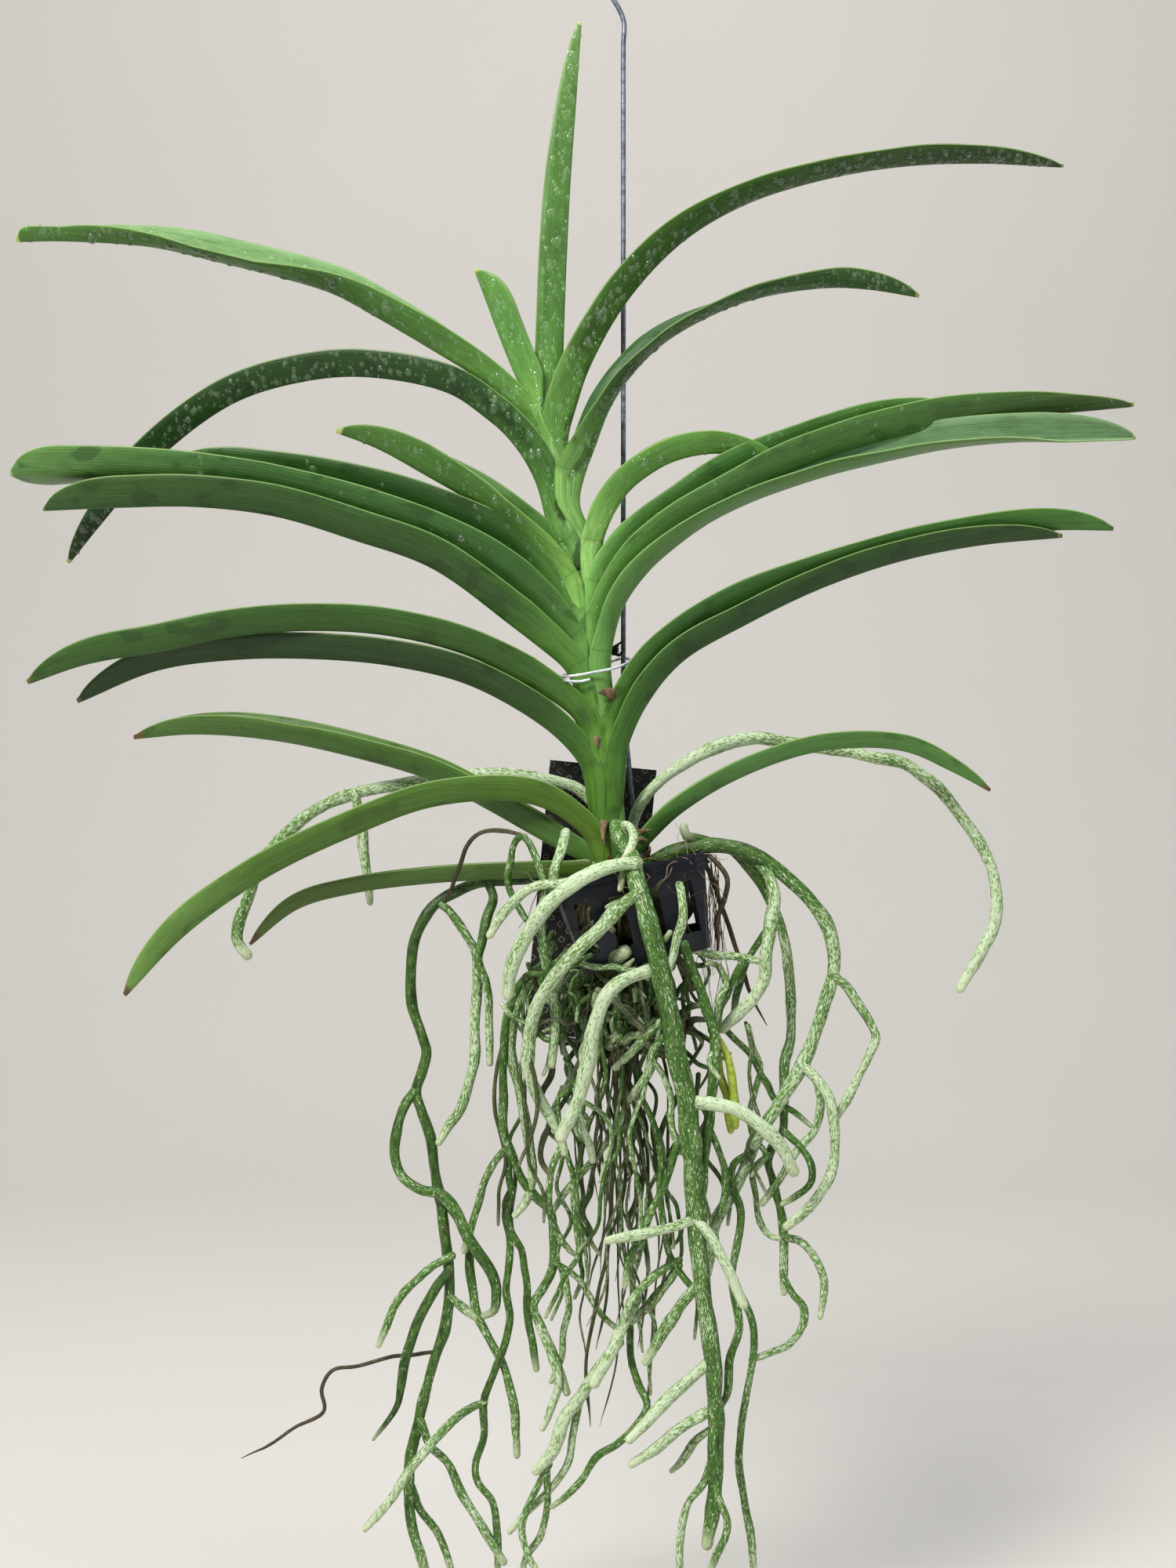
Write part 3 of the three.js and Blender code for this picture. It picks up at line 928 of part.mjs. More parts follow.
add("stem", stemSolid(0), SHEATH);
let leafClearance = null;
for (const [name, leaf] of Object.entries(LEAVES)) {
  let blade = leafSolid(leaf).subtract(name === "leaf_crown" ? leafCutter : sideCutter);
  if (leafClearance) blade = blade.subtract(leafClearance);
  const grown = leafSolid(leaf, GAP);
  leafClearance = leafClearance ? leafClearance.add(grown) : grown;
  add(name, largest(blade.simplify(CUT_EASE)), leaf.young ? YOUNG_LEAF : OLD_LEAF);
}
add("basket", basketSolid(0), BLACK_PLASTIC);
add("hanger", hangerSolid(0), GALVANISED);
add("tie", tieSolid(0), TIE_METAL);
add("card", cardSolid(), CARD_BLACK);
const rootCutters = [stemClearance, hangerClearance, basketSolid(GAP), leafClearance];
add("roots", largest(rootsSolid(rootCutters)), ROOT);

export default plant;
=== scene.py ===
"""A vanda orchid in its hanging basket: fine leaves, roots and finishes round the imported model."""

import math

import bpy
import numpy as np
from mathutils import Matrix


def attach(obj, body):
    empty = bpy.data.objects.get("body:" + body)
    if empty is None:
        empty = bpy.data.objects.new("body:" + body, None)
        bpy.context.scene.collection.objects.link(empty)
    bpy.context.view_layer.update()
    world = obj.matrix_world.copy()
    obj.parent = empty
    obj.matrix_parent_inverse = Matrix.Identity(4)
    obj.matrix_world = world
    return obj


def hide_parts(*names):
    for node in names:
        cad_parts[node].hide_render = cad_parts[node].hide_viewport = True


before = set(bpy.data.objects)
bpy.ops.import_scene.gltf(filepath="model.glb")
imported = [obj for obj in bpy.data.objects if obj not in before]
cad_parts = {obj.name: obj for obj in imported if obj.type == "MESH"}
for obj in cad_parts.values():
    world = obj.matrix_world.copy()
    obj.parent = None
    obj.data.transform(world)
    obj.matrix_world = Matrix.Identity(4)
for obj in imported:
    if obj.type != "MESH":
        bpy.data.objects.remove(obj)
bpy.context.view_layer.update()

BODY = "root"

# ------------------------------------------------------------------ the front drawing
# [right, down] in units of 0.42 mm at the stem's plane, seen from an eye 1250 mm in front of the
# drawing's centre. Depth is in mm behind the stem. Everything here is in mm until a mesh is made.

UNIT = 0.42
EYE = 1250
CENTRE = np.array([750.0, 1000.0])
HOOK = np.array([19.202, 20.0, 450.19])
MM = 0.001


def place(right, down, depth=0.0):
    """Points of the drawing as points of the object, in mm from the hook."""
    right, down, depth = np.broadcast_arrays(
        np.asarray(right, float), np.asarray(down, float), np.asarray(depth, float))
    spread = UNIT * (1 + depth / EYE)
    return np.stack([(right - CENTRE[0]) * spread, depth, (CENTRE[1] - down) * spread], -1) - HOOK


def height_in_drawing(z):
    """How far down the drawing a height of the object is, at the stem's plane."""
    return CENTRE[1] - (z + HOOK[2]) / UNIT


def evenly(values, along):
    """The value at a share of the way through a list of evenly spaced values."""
    return np.interp(along, np.linspace(0, 1, len(values)), values)


def smooth(value, low=0.0, high=1.0):
    share = np.clip((value - low) / (high - low), 0, 1)
    return share * share * (3 - 2 * share)


# ------------------------------------------------------------------ lines

SPAN_SAMPLES = 14


def line_through(points, per_span=SPAN_SAMPLES):
    """A centripetal Catmull-Rom line: its samples, and the share of the points passed at each."""
    points = np.asarray(points, float)
    ends = np.array([2 * points[0] - points[1], *points, 2 * points[-1] - points[-2]])
    spans = len(points) - 1
    t = np.linspace(0, 1, per_span, endpoint=False)[:, None]
    samples, shares = [], []
    for i in range(spans):
        p0, p1, p2, p3 = ends[i:i + 4]
        d0, d1, d2 = (max(np.linalg.norm(b - a), 1e-6) ** 0.5 for a, b in ((p0, p1), (p1, p2), (p2, p3)))
        m1 = ((p1 - p0) / d0 - (p2 - p0) / (d0 + d1) + (p2 - p1) / d1) * d1
        m2 = ((p2 - p1) / d1 - (p3 - p1) / (d1 + d2) + (p3 - p2) / d2) * d1
        samples.append(p1 + m1 * t + (3 * (p2 - p1) - 2 * m1 - m2) * t ** 2
                       + (2 * (p1 - p2) + m1 + m2) * t ** 3)
        shares.append((i + t[:, 0]) / spans)
    return np.vstack([*samples, points[-1:]]), np.append(np.concatenate(shares), 1.0)


def lengths(line):
    return np.concatenate([[0], np.cumsum(np.linalg.norm(np.diff(line, axis=0), axis=1))])


def at_runs(line, run, wanted):
    """The line at the wanted distances, where run has the distance of each of its points."""
    return np.stack([np.interp(wanted, run, line[:, k]) for k in range(3)], -1)


def at_shares(line, shares, *others):
    """The line at shares of its length, and the other values there."""
    run = lengths(line)
    wanted = run[-1] * np.asarray(shares)
    return (at_runs(line, run, wanted), *(np.interp(wanted, run, other) for other in others))


def unit(vectors):
    return vectors / np.maximum(np.linalg.norm(vectors, axis=-1, keepdims=True), 1e-12)


def tangents_of(line):
    return unit(np.gradient(line, axis=0))


def frames_of(line):
    """Two directions across the line at each point, which turn no more than the line does."""
    tangents = tangents_of(line)
    normals = np.empty_like(line)
    normal = np.array([0.2, 1.0, 0.1])
    for i, tangent in enumerate(tangents):
        normal = normal - tangent * (normal @ tangent)
        normal /= np.linalg.norm(normal)
        normals[i] = normal
    return normals, np.cross(tangents, normals)


def corners(count):
    """The angles of evenly spaced corners round a section."""
    return np.linspace(0, 2 * np.pi, count, endpoint=False)


# ------------------------------------------------------------------ meshes

class Piece:
    """Closed bodies gathered into one mesh, with named values at its points."""

    def __init__(self, name):
        self.name = name
        self.points, self.faces, self.marks, self.count = [], [], {}, 0
        self.offset = (0, 0, 0)   # added to the grain of the next tube, so that no two look alike

    def add(self, points, faces, marks):
        """One closed body. Its faces are turned outwards."""
        volume = 0.0
        for face in faces:
            a, b, c = points[face[:, 0]], points[face[:, 1]], points[face[:, 2]]
            volume += np.einsum("ij,ij->i", a, np.cross(b, c)).sum()
            if face.shape[1] == 4:
                d = points[face[:, 3]]
                volume += np.einsum("ij,ij->i", a, np.cross(c, d)).sum()
        for face in faces:
            turned = face if volume > 0 else face[:, ::-1]
            self.faces.extend((turned + self.count).tolist())
        self.points.append(points)
        for name, values in marks.items():
            self.marks.setdefault(name, []).append(values)
        self.count += len(points)

    def loft(self, rings, marks):
        """A body through rings of equal point count, closed with a fan at either end."""
        rows, sides = rings.shape[:2]
        grid = np.arange(rows * sides).reshape(rows, sides)
        a, b = grid[:-1], np.roll(grid, -1, axis=1)[:-1]
        c, d = np.roll(grid, -1, axis=1)[1:], grid[1:]
        quads = np.stack([a, b, c, d], -1).reshape(-1, 4)
        first, last = rows * sides, rows * sides + 1
        ring = np.arange(sides)
        after = np.roll(ring, -1)
        start = np.stack([after, ring, np.full(sides, first)], -1)
        end = np.stack([grid[-1], grid[-1][after], np.full(sides, last)], -1)
        points = np.vstack([rings.reshape(-1, 3), rings[0].mean(0), rings[-1].mean(0)])
        values = {}
        for name, mark in marks.items():
            flat = mark.reshape(-1, 3)
            values[name] = np.vstack([flat, mark[0].mean(0), mark[-1].mean(0)])
        self.add(points, [quads, start, end], values)

    def build(self, material, replaces=()):
        mesh = bpy.data.meshes.new(self.name)
        mesh.from_pydata((np.vstack(self.points) * MM).tolist(), [], self.faces)
        for name, values in self.marks.items():
            attribute = mesh.attributes.new(name, "FLOAT_VECTOR", "POINT")
            attribute.data.foreach_set("vector", np.vstack(values).astype(np.float32).ravel())
        mesh.shade_smooth()
        mesh.materials.append(material)
        piece = bpy.data.objects.new(self.name, mesh)
        bpy.context.scene.collection.objects.link(piece)
        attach(piece, BODY)
        if replaces:
            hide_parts(*replaces)
        return piece


# ------------------------------------------------------------------ finishes

def rgb(red, green, blue):
    """A colour as the shaders want it, from 0 to 255 a channel."""
    share = np.array([red, green, blue]) / 255
    return tuple(np.where(share <= 0.04045, share / 12.92, ((share + 0.055) / 1.055) ** 2.4))


class Finish:
    """A material round one Principled shader."""

    def __init__(self, name, **constants):
        self.material = bpy.data.materials.new(name)
        self.material.use_nodes = True
        self.tree = self.material.node_tree
        self.shader = self.tree.nodes["Principled BSDF"]
        for socket, value in constants.items():
            self.feed(self.shader.inputs[socket.replace("_", " ")], value)

    def feed(self, socket, value):
        if isinstance(value, bpy.types.NodeSocket):
            self.tree.links.new(value, socket)
        elif socket.type == "RGBA" and len(value) == 3:
            socket.default_value = (*value, 1.0)
        else:
            socket.default_value = value

    def node(self, kind, inputs, output, **settings):
        made = self.tree.nodes.new("ShaderNode" + kind)
        for name, value in settings.items():
            setattr(made, name, value)
        for name, value in inputs.items():
            self.feed(made.inputs[name], value)
        return made.outputs[output]

    def mark(self, name):
        return self.node("Attribute", {}, "Vector", attribute_name=name)

    def where(self):
        return self.node("TexCoord", {}, "Object")

    def split(self, vector):
        source = self.node("SeparateXYZ", {"Vector": vector}, "X").node
        return source.outputs["X"], source.outputs["Y"], source.outputs["Z"]

    def stretch(self, vector, scale, turn=(0, 0, 0)):
        return self.node("Mapping", {"Vector": vector, "Scale": scale, "Rotation": turn}, "Vector")

    def noise(self, vector, scale, detail=2.0, roughness=0.5, distortion=0.0):
        return self.node("TexNoise", {
            "Vector": vector, "Scale": scale, "Detail": detail, "Roughness": roughness,
            "Distortion": distortion}, "Fac")

    def cells(self, vector, scale):
        return self.node("TexVoronoi", {"Vector": vector, "Scale": scale}, "Distance")

    def calc(self, operation, *values):
        return self.node("Math", dict(enumerate(values)), "Value", operation=operation)

    def plus(self, first, second):
        return self.calc("ADD", first, second)

    def times(self, first, second):
        return self.calc("MULTIPLY", first, second)

    def off(self, value, middle):
        """How far a value is from a middle, either way."""
        return self.calc("ABSOLUTE", self.calc("SUBTRACT", value, middle))

    def between(self, value, low, high, to_low=0.0, to_high=1.0, kind="SMOOTHSTEP"):
        return self.node("MapRange", {
            "Value": value, "From Min": low, "From Max": high, "To Min": to_low, "To Max": to_high},
            "Result", interpolation_type=kind)

    def ramp(self, share, *stops):
        made = self.node("ValToRGB", {"Fac": share}, "Color").node
        elements = made.color_ramp.elements
        while len(elements) < len(stops):
            elements.new(0.5)
        for element, (position, colour) in zip(elements, stops):
            element.position = position
            element.color = (*colour, 1.0)
        return made.outputs["Color"]

    def mix(self, share, first, second):
        return self.node("Mix", {0: share, 6: first, 7: second}, 2, data_type="RGBA")

    def bump(self, height, distance, strength=1.0):
        normal = self.node("Bump", {"Height": height, "Distance": distance, "Strength": strength}, "Normal")
        self.feed(self.shader.inputs["Normal"], normal)

    def colour(self, value):
        self.feed(self.shader.inputs["Base Color"], value)

    def rough(self, value):
        self.feed(self.shader.inputs["Roughness"], value)


# ------------------------------------------------------------------ stem line

STEM_AXIS = [
    (702, 545), (712, 600), (724, 650), (735, 690), (744, 740), (752, 790), (763, 860), (772, 930),
    (778, 1000), (784, 1050), (790, 1085), (793, 1108)]
STEM_TOP = 556
SEAM = [   # where the front margins of the two ranks meet
    (692, 512), (689, 526), (695, 540), (706, 557), (709, 580), (710, 640), (722, 662), (738, 690),
    (742, 735), (746, 770), (752, 850), (761, 890), (767, 930), (772, 985), (773, 1040), (779, 1100),
    (786, 1130)]
SHEATH_OUT = (7.1, 12.6)   # mm from the seam to a sheath's keel, at its foot and at its lip
SHEATH_DEEP = (6.0, 8.2)   # mm to the front of the stem
SLIM = 0.45   # the stem's girth at its top, as a share of its full girth
GIRTH_RUN = 75   # units of the drawing in which it would grow by one full girth

axis_line, _ = line_through([place(x, y) for x, y in STEM_AXIS])


def axis_at(z):
    """How far right of the hook the stem's axis is at a height, in mm."""
    return np.interp(-z, -axis_line[:, 2], axis_line[:, 0])


seam_line, _ = line_through([place(x, y) for x, y in SEAM])


def seam_at(z):
    """How far right of the hook the seam is at a height, in mm."""
    return np.interp(-z, -seam_line[:, 2], seam_line[:, 0])


def girth_at(down):
    """The girth of the stem and its sheaths at a height of the drawing, as a share of the full one."""
    return np.clip(SLIM + (down - STEM_TOP) / GIRTH_RUN, SLIM, 1)


def sheath_out(reach, clasp):
    """From the seam out to the keel, in mm: reach is 0 at the sheath's foot and 1 at its lip."""
    reach = np.clip(reach, 0, 1)
    return (SHEATH_OUT[0] + (SHEATH_OUT[1] - SHEATH_OUT[0]) * reach ** 1.5) * (1 + (clasp - 1) * reach)


# ------------------------------------------------------------------ leaves
# keel: the lower edge from the base to the tip on the drawing. depth, fold and roll as the CAD has them.
# foot: how far down the drawing the sheath reaches. tones: base, middle, outer part and inner face; besides
# the leaf's own colour, some of them carry painted light and shade, lighter where a part is lit and darker
# where
# it is shaded. brown: how many mm of the tip are brown. point: the tone before that. blunt, base and clasp:
# how wide the tip, the base and the sheath are. bright: how much of the inner face's tone shows, with any
# painted light
# and shade in it. wet: how dark the wet patches are, and joint: the line where blade and sheath meet. bare:
# its base isn't held to its own side of the seam.

LEAF_DEFAULTS = dict(
    bare=False, blunt=None, base=0.8, clasp=1, bright=0.6, point=(186, 196, 118), brown=0, joint=0.3,
    slot="old_leaf")

LEAVES = {
    "leaf_crown": dict(
        bare=True, side=1, width=15.5, taper=0.35, depth=[0, 2, 6], fold=[14, 20], roll=[0, 0],
        keel=[(714, 560), (718, 500), (719, 440), (723, 330), (728, 230), (735, 130), (742, 28)],
        tones=[(108, 156, 70), (74, 116, 48), (92, 128, 58), (126, 164, 92)], sheath=(116, 164, 84),
        foot=600, wet=0.25, joint=0, slot="young_leaf"),
    "leaf_left_bud": dict(
        side=-1, width=15, taper=0.7, blunt=0.3, depth=[0, -2, -6], fold=[16, 26], roll=[0, 10],
        keel=[(690, 545), (672, 512), (655, 475), (636, 428), (618, 380), (604, 343)],
        tones=[(112, 160, 74), (86, 134, 60), (100, 146, 70), (140, 176, 104)], sheath=(130, 178, 88),
        foot=587, wet=0.2, joint=0, slot="young_leaf"),
    # Painted light: the pale inner-face tone, shown strongly, is partly the light from above falling on
    # that upturned face.
    "leaf_left_1": dict(
        side=-1, width=16.5, taper=0.5, blunt=0.5, base=0.55, depth=[3, -5, -40],
        fold=[22, 24, 27, 29, 31, 46, 53, 51, 51, 36, 30], roll=[0, 2, 4, 10, 18, 25, 31, 32, 21, 8, 0],
        keel=[(704, 580), (672, 535), (620, 490), (548, 445), (478, 404), (424, 375), (357, 354),
              (289, 337), (203, 317), (145, 311), (72, 308), (20, 309)],
        tones=[(98, 148, 60), (70, 112, 44), (74, 116, 46), (122, 158, 102)], sheath=(114, 162, 84),
        foot=614, wet=0.2, bright=0.85, slot="young_leaf"),
    "leaf_left_2": dict(
        side=-1, width=15.5, taper=0.72, base=1.08, depth=[0, 4, 52], fold=[27, 30], roll=[0, 0],
        keel=[(702, 690), (694, 655), (684, 618), (668, 586), (645, 556), (620, 534), (572, 502),
              (476, 482), (400, 485), (300, 514), (200, 588), (130, 668), (89, 719)],
        tones=[(90, 138, 60), (34, 66, 22), (22, 50, 12), (80, 122, 52)], sheath=(124, 172, 94),
        foot=730, wet=0.7, slot="young_leaf"),
    "leaf_left_3": dict(
        side=-1, width=17, taper=0.55, depth=[0, 0, 0], fold=[24, 30], roll=[30, 26, 0, 0],
        keel=[(746, 790), (720, 750), (696, 716), (650, 676), (600, 640), (547, 609), (480, 572),
              (428, 552)],
        tones=[(110, 160, 66), (66, 106, 40), (72, 112, 44), (70, 112, 48)], sheath=(132, 182, 90),
        foot=827, wet=0.3, bright=0.85, slot="young_leaf"),
    "leaf_left_3b": dict(
        side=-1, width=16, taper=0.8, depth=[0, 3, 18], fold=[26, 30], roll=[0, 0],
        keel=[(748, 826), (713, 773), (683, 732), (646, 700), (600, 676), (500, 640), (400, 618),
              (320, 608), (260, 602), (215, 597)],
        tones=[(70, 116, 46), (42, 78, 28), (62, 102, 44), (84, 126, 56)], sheath=(112, 162, 76),
        foot=862, wet=0.5),
    "leaf_left_4": dict(
        side=-1, width=17.5, taper=0.9, blunt=0.35, depth=[0, 0, 0],
        fold=[28, 28, 29, 30, 31, 32, 42, 62, 69], roll=[0, 0, 0, 0, 0, 0, -10, -30, -37],
        keel=[(752, 862), (712, 808), (686, 778), (617, 724), (560, 695), (500, 672), (400, 643),
              (300, 622), (200, 611), (100, 607), (12, 606)],
        tones=[(48, 82, 38), (52, 92, 38), (96, 140, 70), (84, 128, 62)], sheath=(106, 156, 68),
        foot=895, wet=0.55, point=(206, 212, 168)),
    "leaf_left_5": dict(
        side=-1, width=18.5, taper=0.85, blunt=0.3, depth=[0, 0, 0], fold=[28, 32], roll=[0, 0, 0],
        keel=[(752, 880), (720, 852), (650, 797), (550, 725), (450, 689), (350, 659), (250, 647),
              (150, 648), (55, 652)],
        tones=[(75, 120, 46), (46, 78, 30), (54, 88, 36), (78, 118, 52)], sheath=(98, 148, 62),
        foot=963, wet=0.55),
    "leaf_left_6": dict(
        side=-1, width=16, taper=0.8, depth=[0, -4, -16], fold=[27, 30], roll=[0, 0, 0],
        keel=[(760, 948), (735, 918), (690, 885), (600, 838), (500, 812), (400, 805), (300, 812),
              (200, 832), (110, 848), (36, 873)],
        tones=[(56, 92, 32), (50, 84, 30), (58, 94, 36), (76, 112, 48)], sheath=(98, 148, 50),
        foot=1035, wet=0.55, brown=4),
    "leaf_left_7": dict(
        side=-1, width=15.5, taper=0.78, depth=[0, 2, 10], fold=[27, 30], roll=[0, 0, 0],
        keel=[(766, 1020), (740, 975), (700, 933), (600, 875), (500, 850), (400, 841), (300, 842),
              (200, 856), (100, 897)],
        tones=[(56, 93, 34), (37, 62, 24), (41, 68, 27), (66, 98, 42)], sheath=(84, 132, 42),
        foot=1109, wet=0.55, brown=4),
    "leaf_left_8": dict(
        side=-1, width=14, taper=0.72, depth=[2, 14, 20], fold=[26, 28], roll=[0, 6, 16, 0],
        keel=[(778, 1112), (740, 1098), (680, 1066), (620, 1032), (550, 996), (450, 966), (350, 945),
              (250, 937), (171, 943)],
        tones=[(76, 116, 46), (70, 105, 42), (74, 108, 46), (90, 124, 58)], sheath=(70, 110, 34),
        foot=1125, wet=0.55, brown=6),
    "leaf_left_9": dict(
        side=-1, width=15, taper=0.75, depth=[0, -14, -30], fold=[27, 30], roll=[0, 0, 0],
        keel=[(770, 1094), (740, 1062), (700, 1034), (650, 1022), (550, 1030), (450, 1067),
              (340, 1120), (240, 1190), (161, 1271)],
        tones=[(89, 122, 40), (74, 108, 38), (108, 146, 72), (112, 144, 74)], sheath=(92, 128, 35),
        foot=1124, wet=0.55, brown=7),
    "leaf_left_10": dict(
        side=-1, width=10, taper=0.7, depth=[4, 12, 8], fold=[26, 30], roll=[0, 0, 0],
        keel=[(778, 1114), (740, 1118), (650, 1121), (550, 1127), (450, 1140), (380, 1160),
              (320, 1206)],
        tones=[(84, 112, 42), (72, 100, 42), (92, 112, 52), (96, 122, 62)], sheath=(88, 112, 35),
        foot=1126, wet=0.55, brown=9),
    "leaf_right_1": dict(
        side=1, width=16.5, taper=0.7, base=1.12, depth=[0, 2, 10], fold=[22, 28, 34, 54, 60, 58, 54],
        roll=[0, 2, 6, 8, 7, 7, 6],
        keel=[(716, 585), (735, 520), (752, 470), (800, 385), (870, 310), (950, 262), (1050, 230),
              (1150, 213), (1250, 209), (1356, 214)],
        tones=[(100, 146, 62), (54, 90, 28), (24, 48, 14), (84, 124, 56)], sheath=(110, 158, 84),
        foot=616, wet=0.45, slot="young_leaf"),
    # Painted shade: the dark inner-face tone, shown strongly, stands for the shade on that face seen at a
    # grazing angle.
    "leaf_right_2": dict(
        side=1, width=14.5, taper=0.75, base=1.18, clasp=1.35, depth=[0, -10, -26],
        fold=[30, 47, 57, 66, 66, 50, 42], roll=[-8, 16, 20, 10, 6, 4, 4],
        keel=[(738, 700), (746, 655), (747, 606), (759, 572), (778, 522), (802, 484), (850, 436),
              (950, 386), (1050, 368), (1110, 370), (1172, 380)],
        tones=[(90, 138, 54), (50, 88, 33), (44, 80, 31), (50, 84, 46)], sheath=(138, 186, 98),
        foot=715, wet=0.6, bright=0.85),
    "leaf_right_3": dict(
        side=1, width=14, taper=0.5, depth=[0, 0, -2], fold=[24, 26], roll=[0, 10, 6],
        keel=[(750, 735), (762, 702), (771, 684), (779, 664), (800, 630), (827, 607), (860, 589),
              (907, 579), (950, 583), (1000, 596)],
        tones=[(150, 196, 92), (88, 136, 56), (94, 142, 62), (124, 166, 84)], sheath=(146, 196, 110),
        foot=795, wet=0.4, slot="young_leaf"),
    "leaf_right_3b": dict(
        side=1, width=15, taper=0.75, blunt=0.3, depth=[0, 0, 0], fold=[26, 30], roll=[0, 0],
        keel=[(752, 800), (766, 755), (790, 718), (830, 680), (870, 652), (933, 610), (1027, 573),
              (1100, 550), (1160, 537), (1222, 524)],
        tones=[(104, 158, 74), (66, 112, 46), (78, 126, 56), (100, 146, 76)], sheath=(122, 174, 86),
        foot=832, wet=0.5),
    "leaf_right_4": dict(
        side=1, width=17.5, taper=0.6, depth=[0, -4, 0], fold=[24, 24, 26, 48], roll=[6, 8, 4, 0],
        keel=[(760, 840), (776, 790), (800, 748), (826, 716), (870, 679), (933, 643), (1007, 603),
              (1067, 580), (1120, 564), (1200, 546), (1308, 531), (1372, 526), (1446, 519)],
        tones=[(82, 130, 52), (68, 106, 48), (52, 72, 32), (98, 136, 70)], sheath=(114, 166, 78),
        foot=865, wet=0.55),
    # Painted light: the pale bluish inner-face tone stands for light from above and its reflection on that
    # upturned face.
    "leaf_right_5": dict(
        side=1, width=16.5, taper=0.82, blunt=0.3, depth=[0, 2, 0], fold=[28, 32],
        roll=[18, 24, 37, 41, 43, 47, 57, 72, 72],
        keel=[(766, 868), (779, 832), (794, 778), (826, 731), (867, 694), (907, 666), (960, 640),
              (1027, 616), (1067, 604), (1147, 585), (1200, 574), (1250, 567), (1308, 562), (1372, 560),
              (1448, 559)],
        tones=[(104, 152, 76), (85, 127, 62), (124, 162, 104), (148, 178, 146)], sheath=(102, 152, 70),
        foot=967, wet=0.15),
    # Painted light: these tones are made lighter to stand for its lit upper face.
    "leaf_right_6": dict(
        side=1, width=14.5, taper=0.8, depth=[0, -4, -8], fold=[28, 30], roll=[0, 2, 4, 4],
        keel=[(778, 952), (795, 912), (830, 858), (880, 813), (950, 773), (1050, 737), (1150, 708),
              (1250, 688), (1340, 677), (1420, 677)],
        tones=[(62, 102, 38), (50, 90, 34), (70, 116, 46), (72, 116, 52)], sheath=(96, 146, 48),
        foot=1027, wet=0.55),
    # Painted shade: its darker middle and outer tones stand for the shade it lies in below leaf_right_6.
    "leaf_right_7": dict(
        side=1, width=14, taper=0.75, depth=[0, -4, -8], fold=[28, 30], roll=[0, 8, 14, 14],
        keel=[(784, 1012), (800, 955), (825, 900), (870, 845), (950, 798), (1050, 750), (1150, 716),
              (1250, 696), (1355, 686)],
        tones=[(64, 104, 40), (42, 74, 28), (40, 68, 27), (70, 106, 46)], sheath=(74, 118, 35),
        foot=1117, wet=0.55, brown=3),
    "leaf_right_8": dict(
        side=1, width=10, taper=0.7, depth=[0, -12, -22], fold=[27, 30], roll=[0, 0, 0],
        keel=[(806, 1102), (830, 1075), (870, 1037), (950, 990), (1050, 958), (1150, 958), (1215, 985),
              (1262, 1010)],
        tones=[(84, 126, 54), (73, 114, 52), (78, 118, 56), (96, 134, 68)], sheath=(66, 106, 32),
        foot=1125, wet=0.55, brown=6),
}

TIP_WIDTH = 0.14   # of the leaf's width, where its tip isn't blunt
LEAF_STEP = 2.6   # mm between the rows of a leaf's mesh
SHEATH_STEP = 4.0   # units of the drawing between the points of a sheath
SOFT_REACH = 12   # mm to either side over which the bend out of the sheath is softened
SOFT_SPAN = 22   # mm: how far from that bend the softening fades
THICKEST = 1.3   # mm, at the keel of a broad leaf
RIM_BULGE = 0.3   # mm that a margin stands out between the two faces
ROW_CROWDING = 0.96   # under 1: the rows are a little closer together towards the tip
MARGIN_WAVE = 0.35
HALF_SECTION = 9   # points from the keel to a margin
SECTION = np.linspace(-1, 1, 2 * HALF_SECTION - 1)
ACROSS = SECTION * (0.4 + 0.6 * SECTION ** 2)   # closer together at the keel
KEEL_ROUNDING = 0.07
TIP_ROUNDING = 7.0   # mm: a blunt tip is rounded over this length


def width_at(along, taper, blunt, base):
    """The width along a blade as a share of its usual width."""
    if base < 1:
        grown = np.minimum(1, base + along * 1.6)
    else:
        grown = 1 + (base - 1) * np.clip(1 - along / 0.2, 0, 1)
    tip = np.clip((along - taper) / (1 - taper), 0, 1)
    return np.maximum(blunt, grown * (1 - tip ** 2.4) ** 0.62)


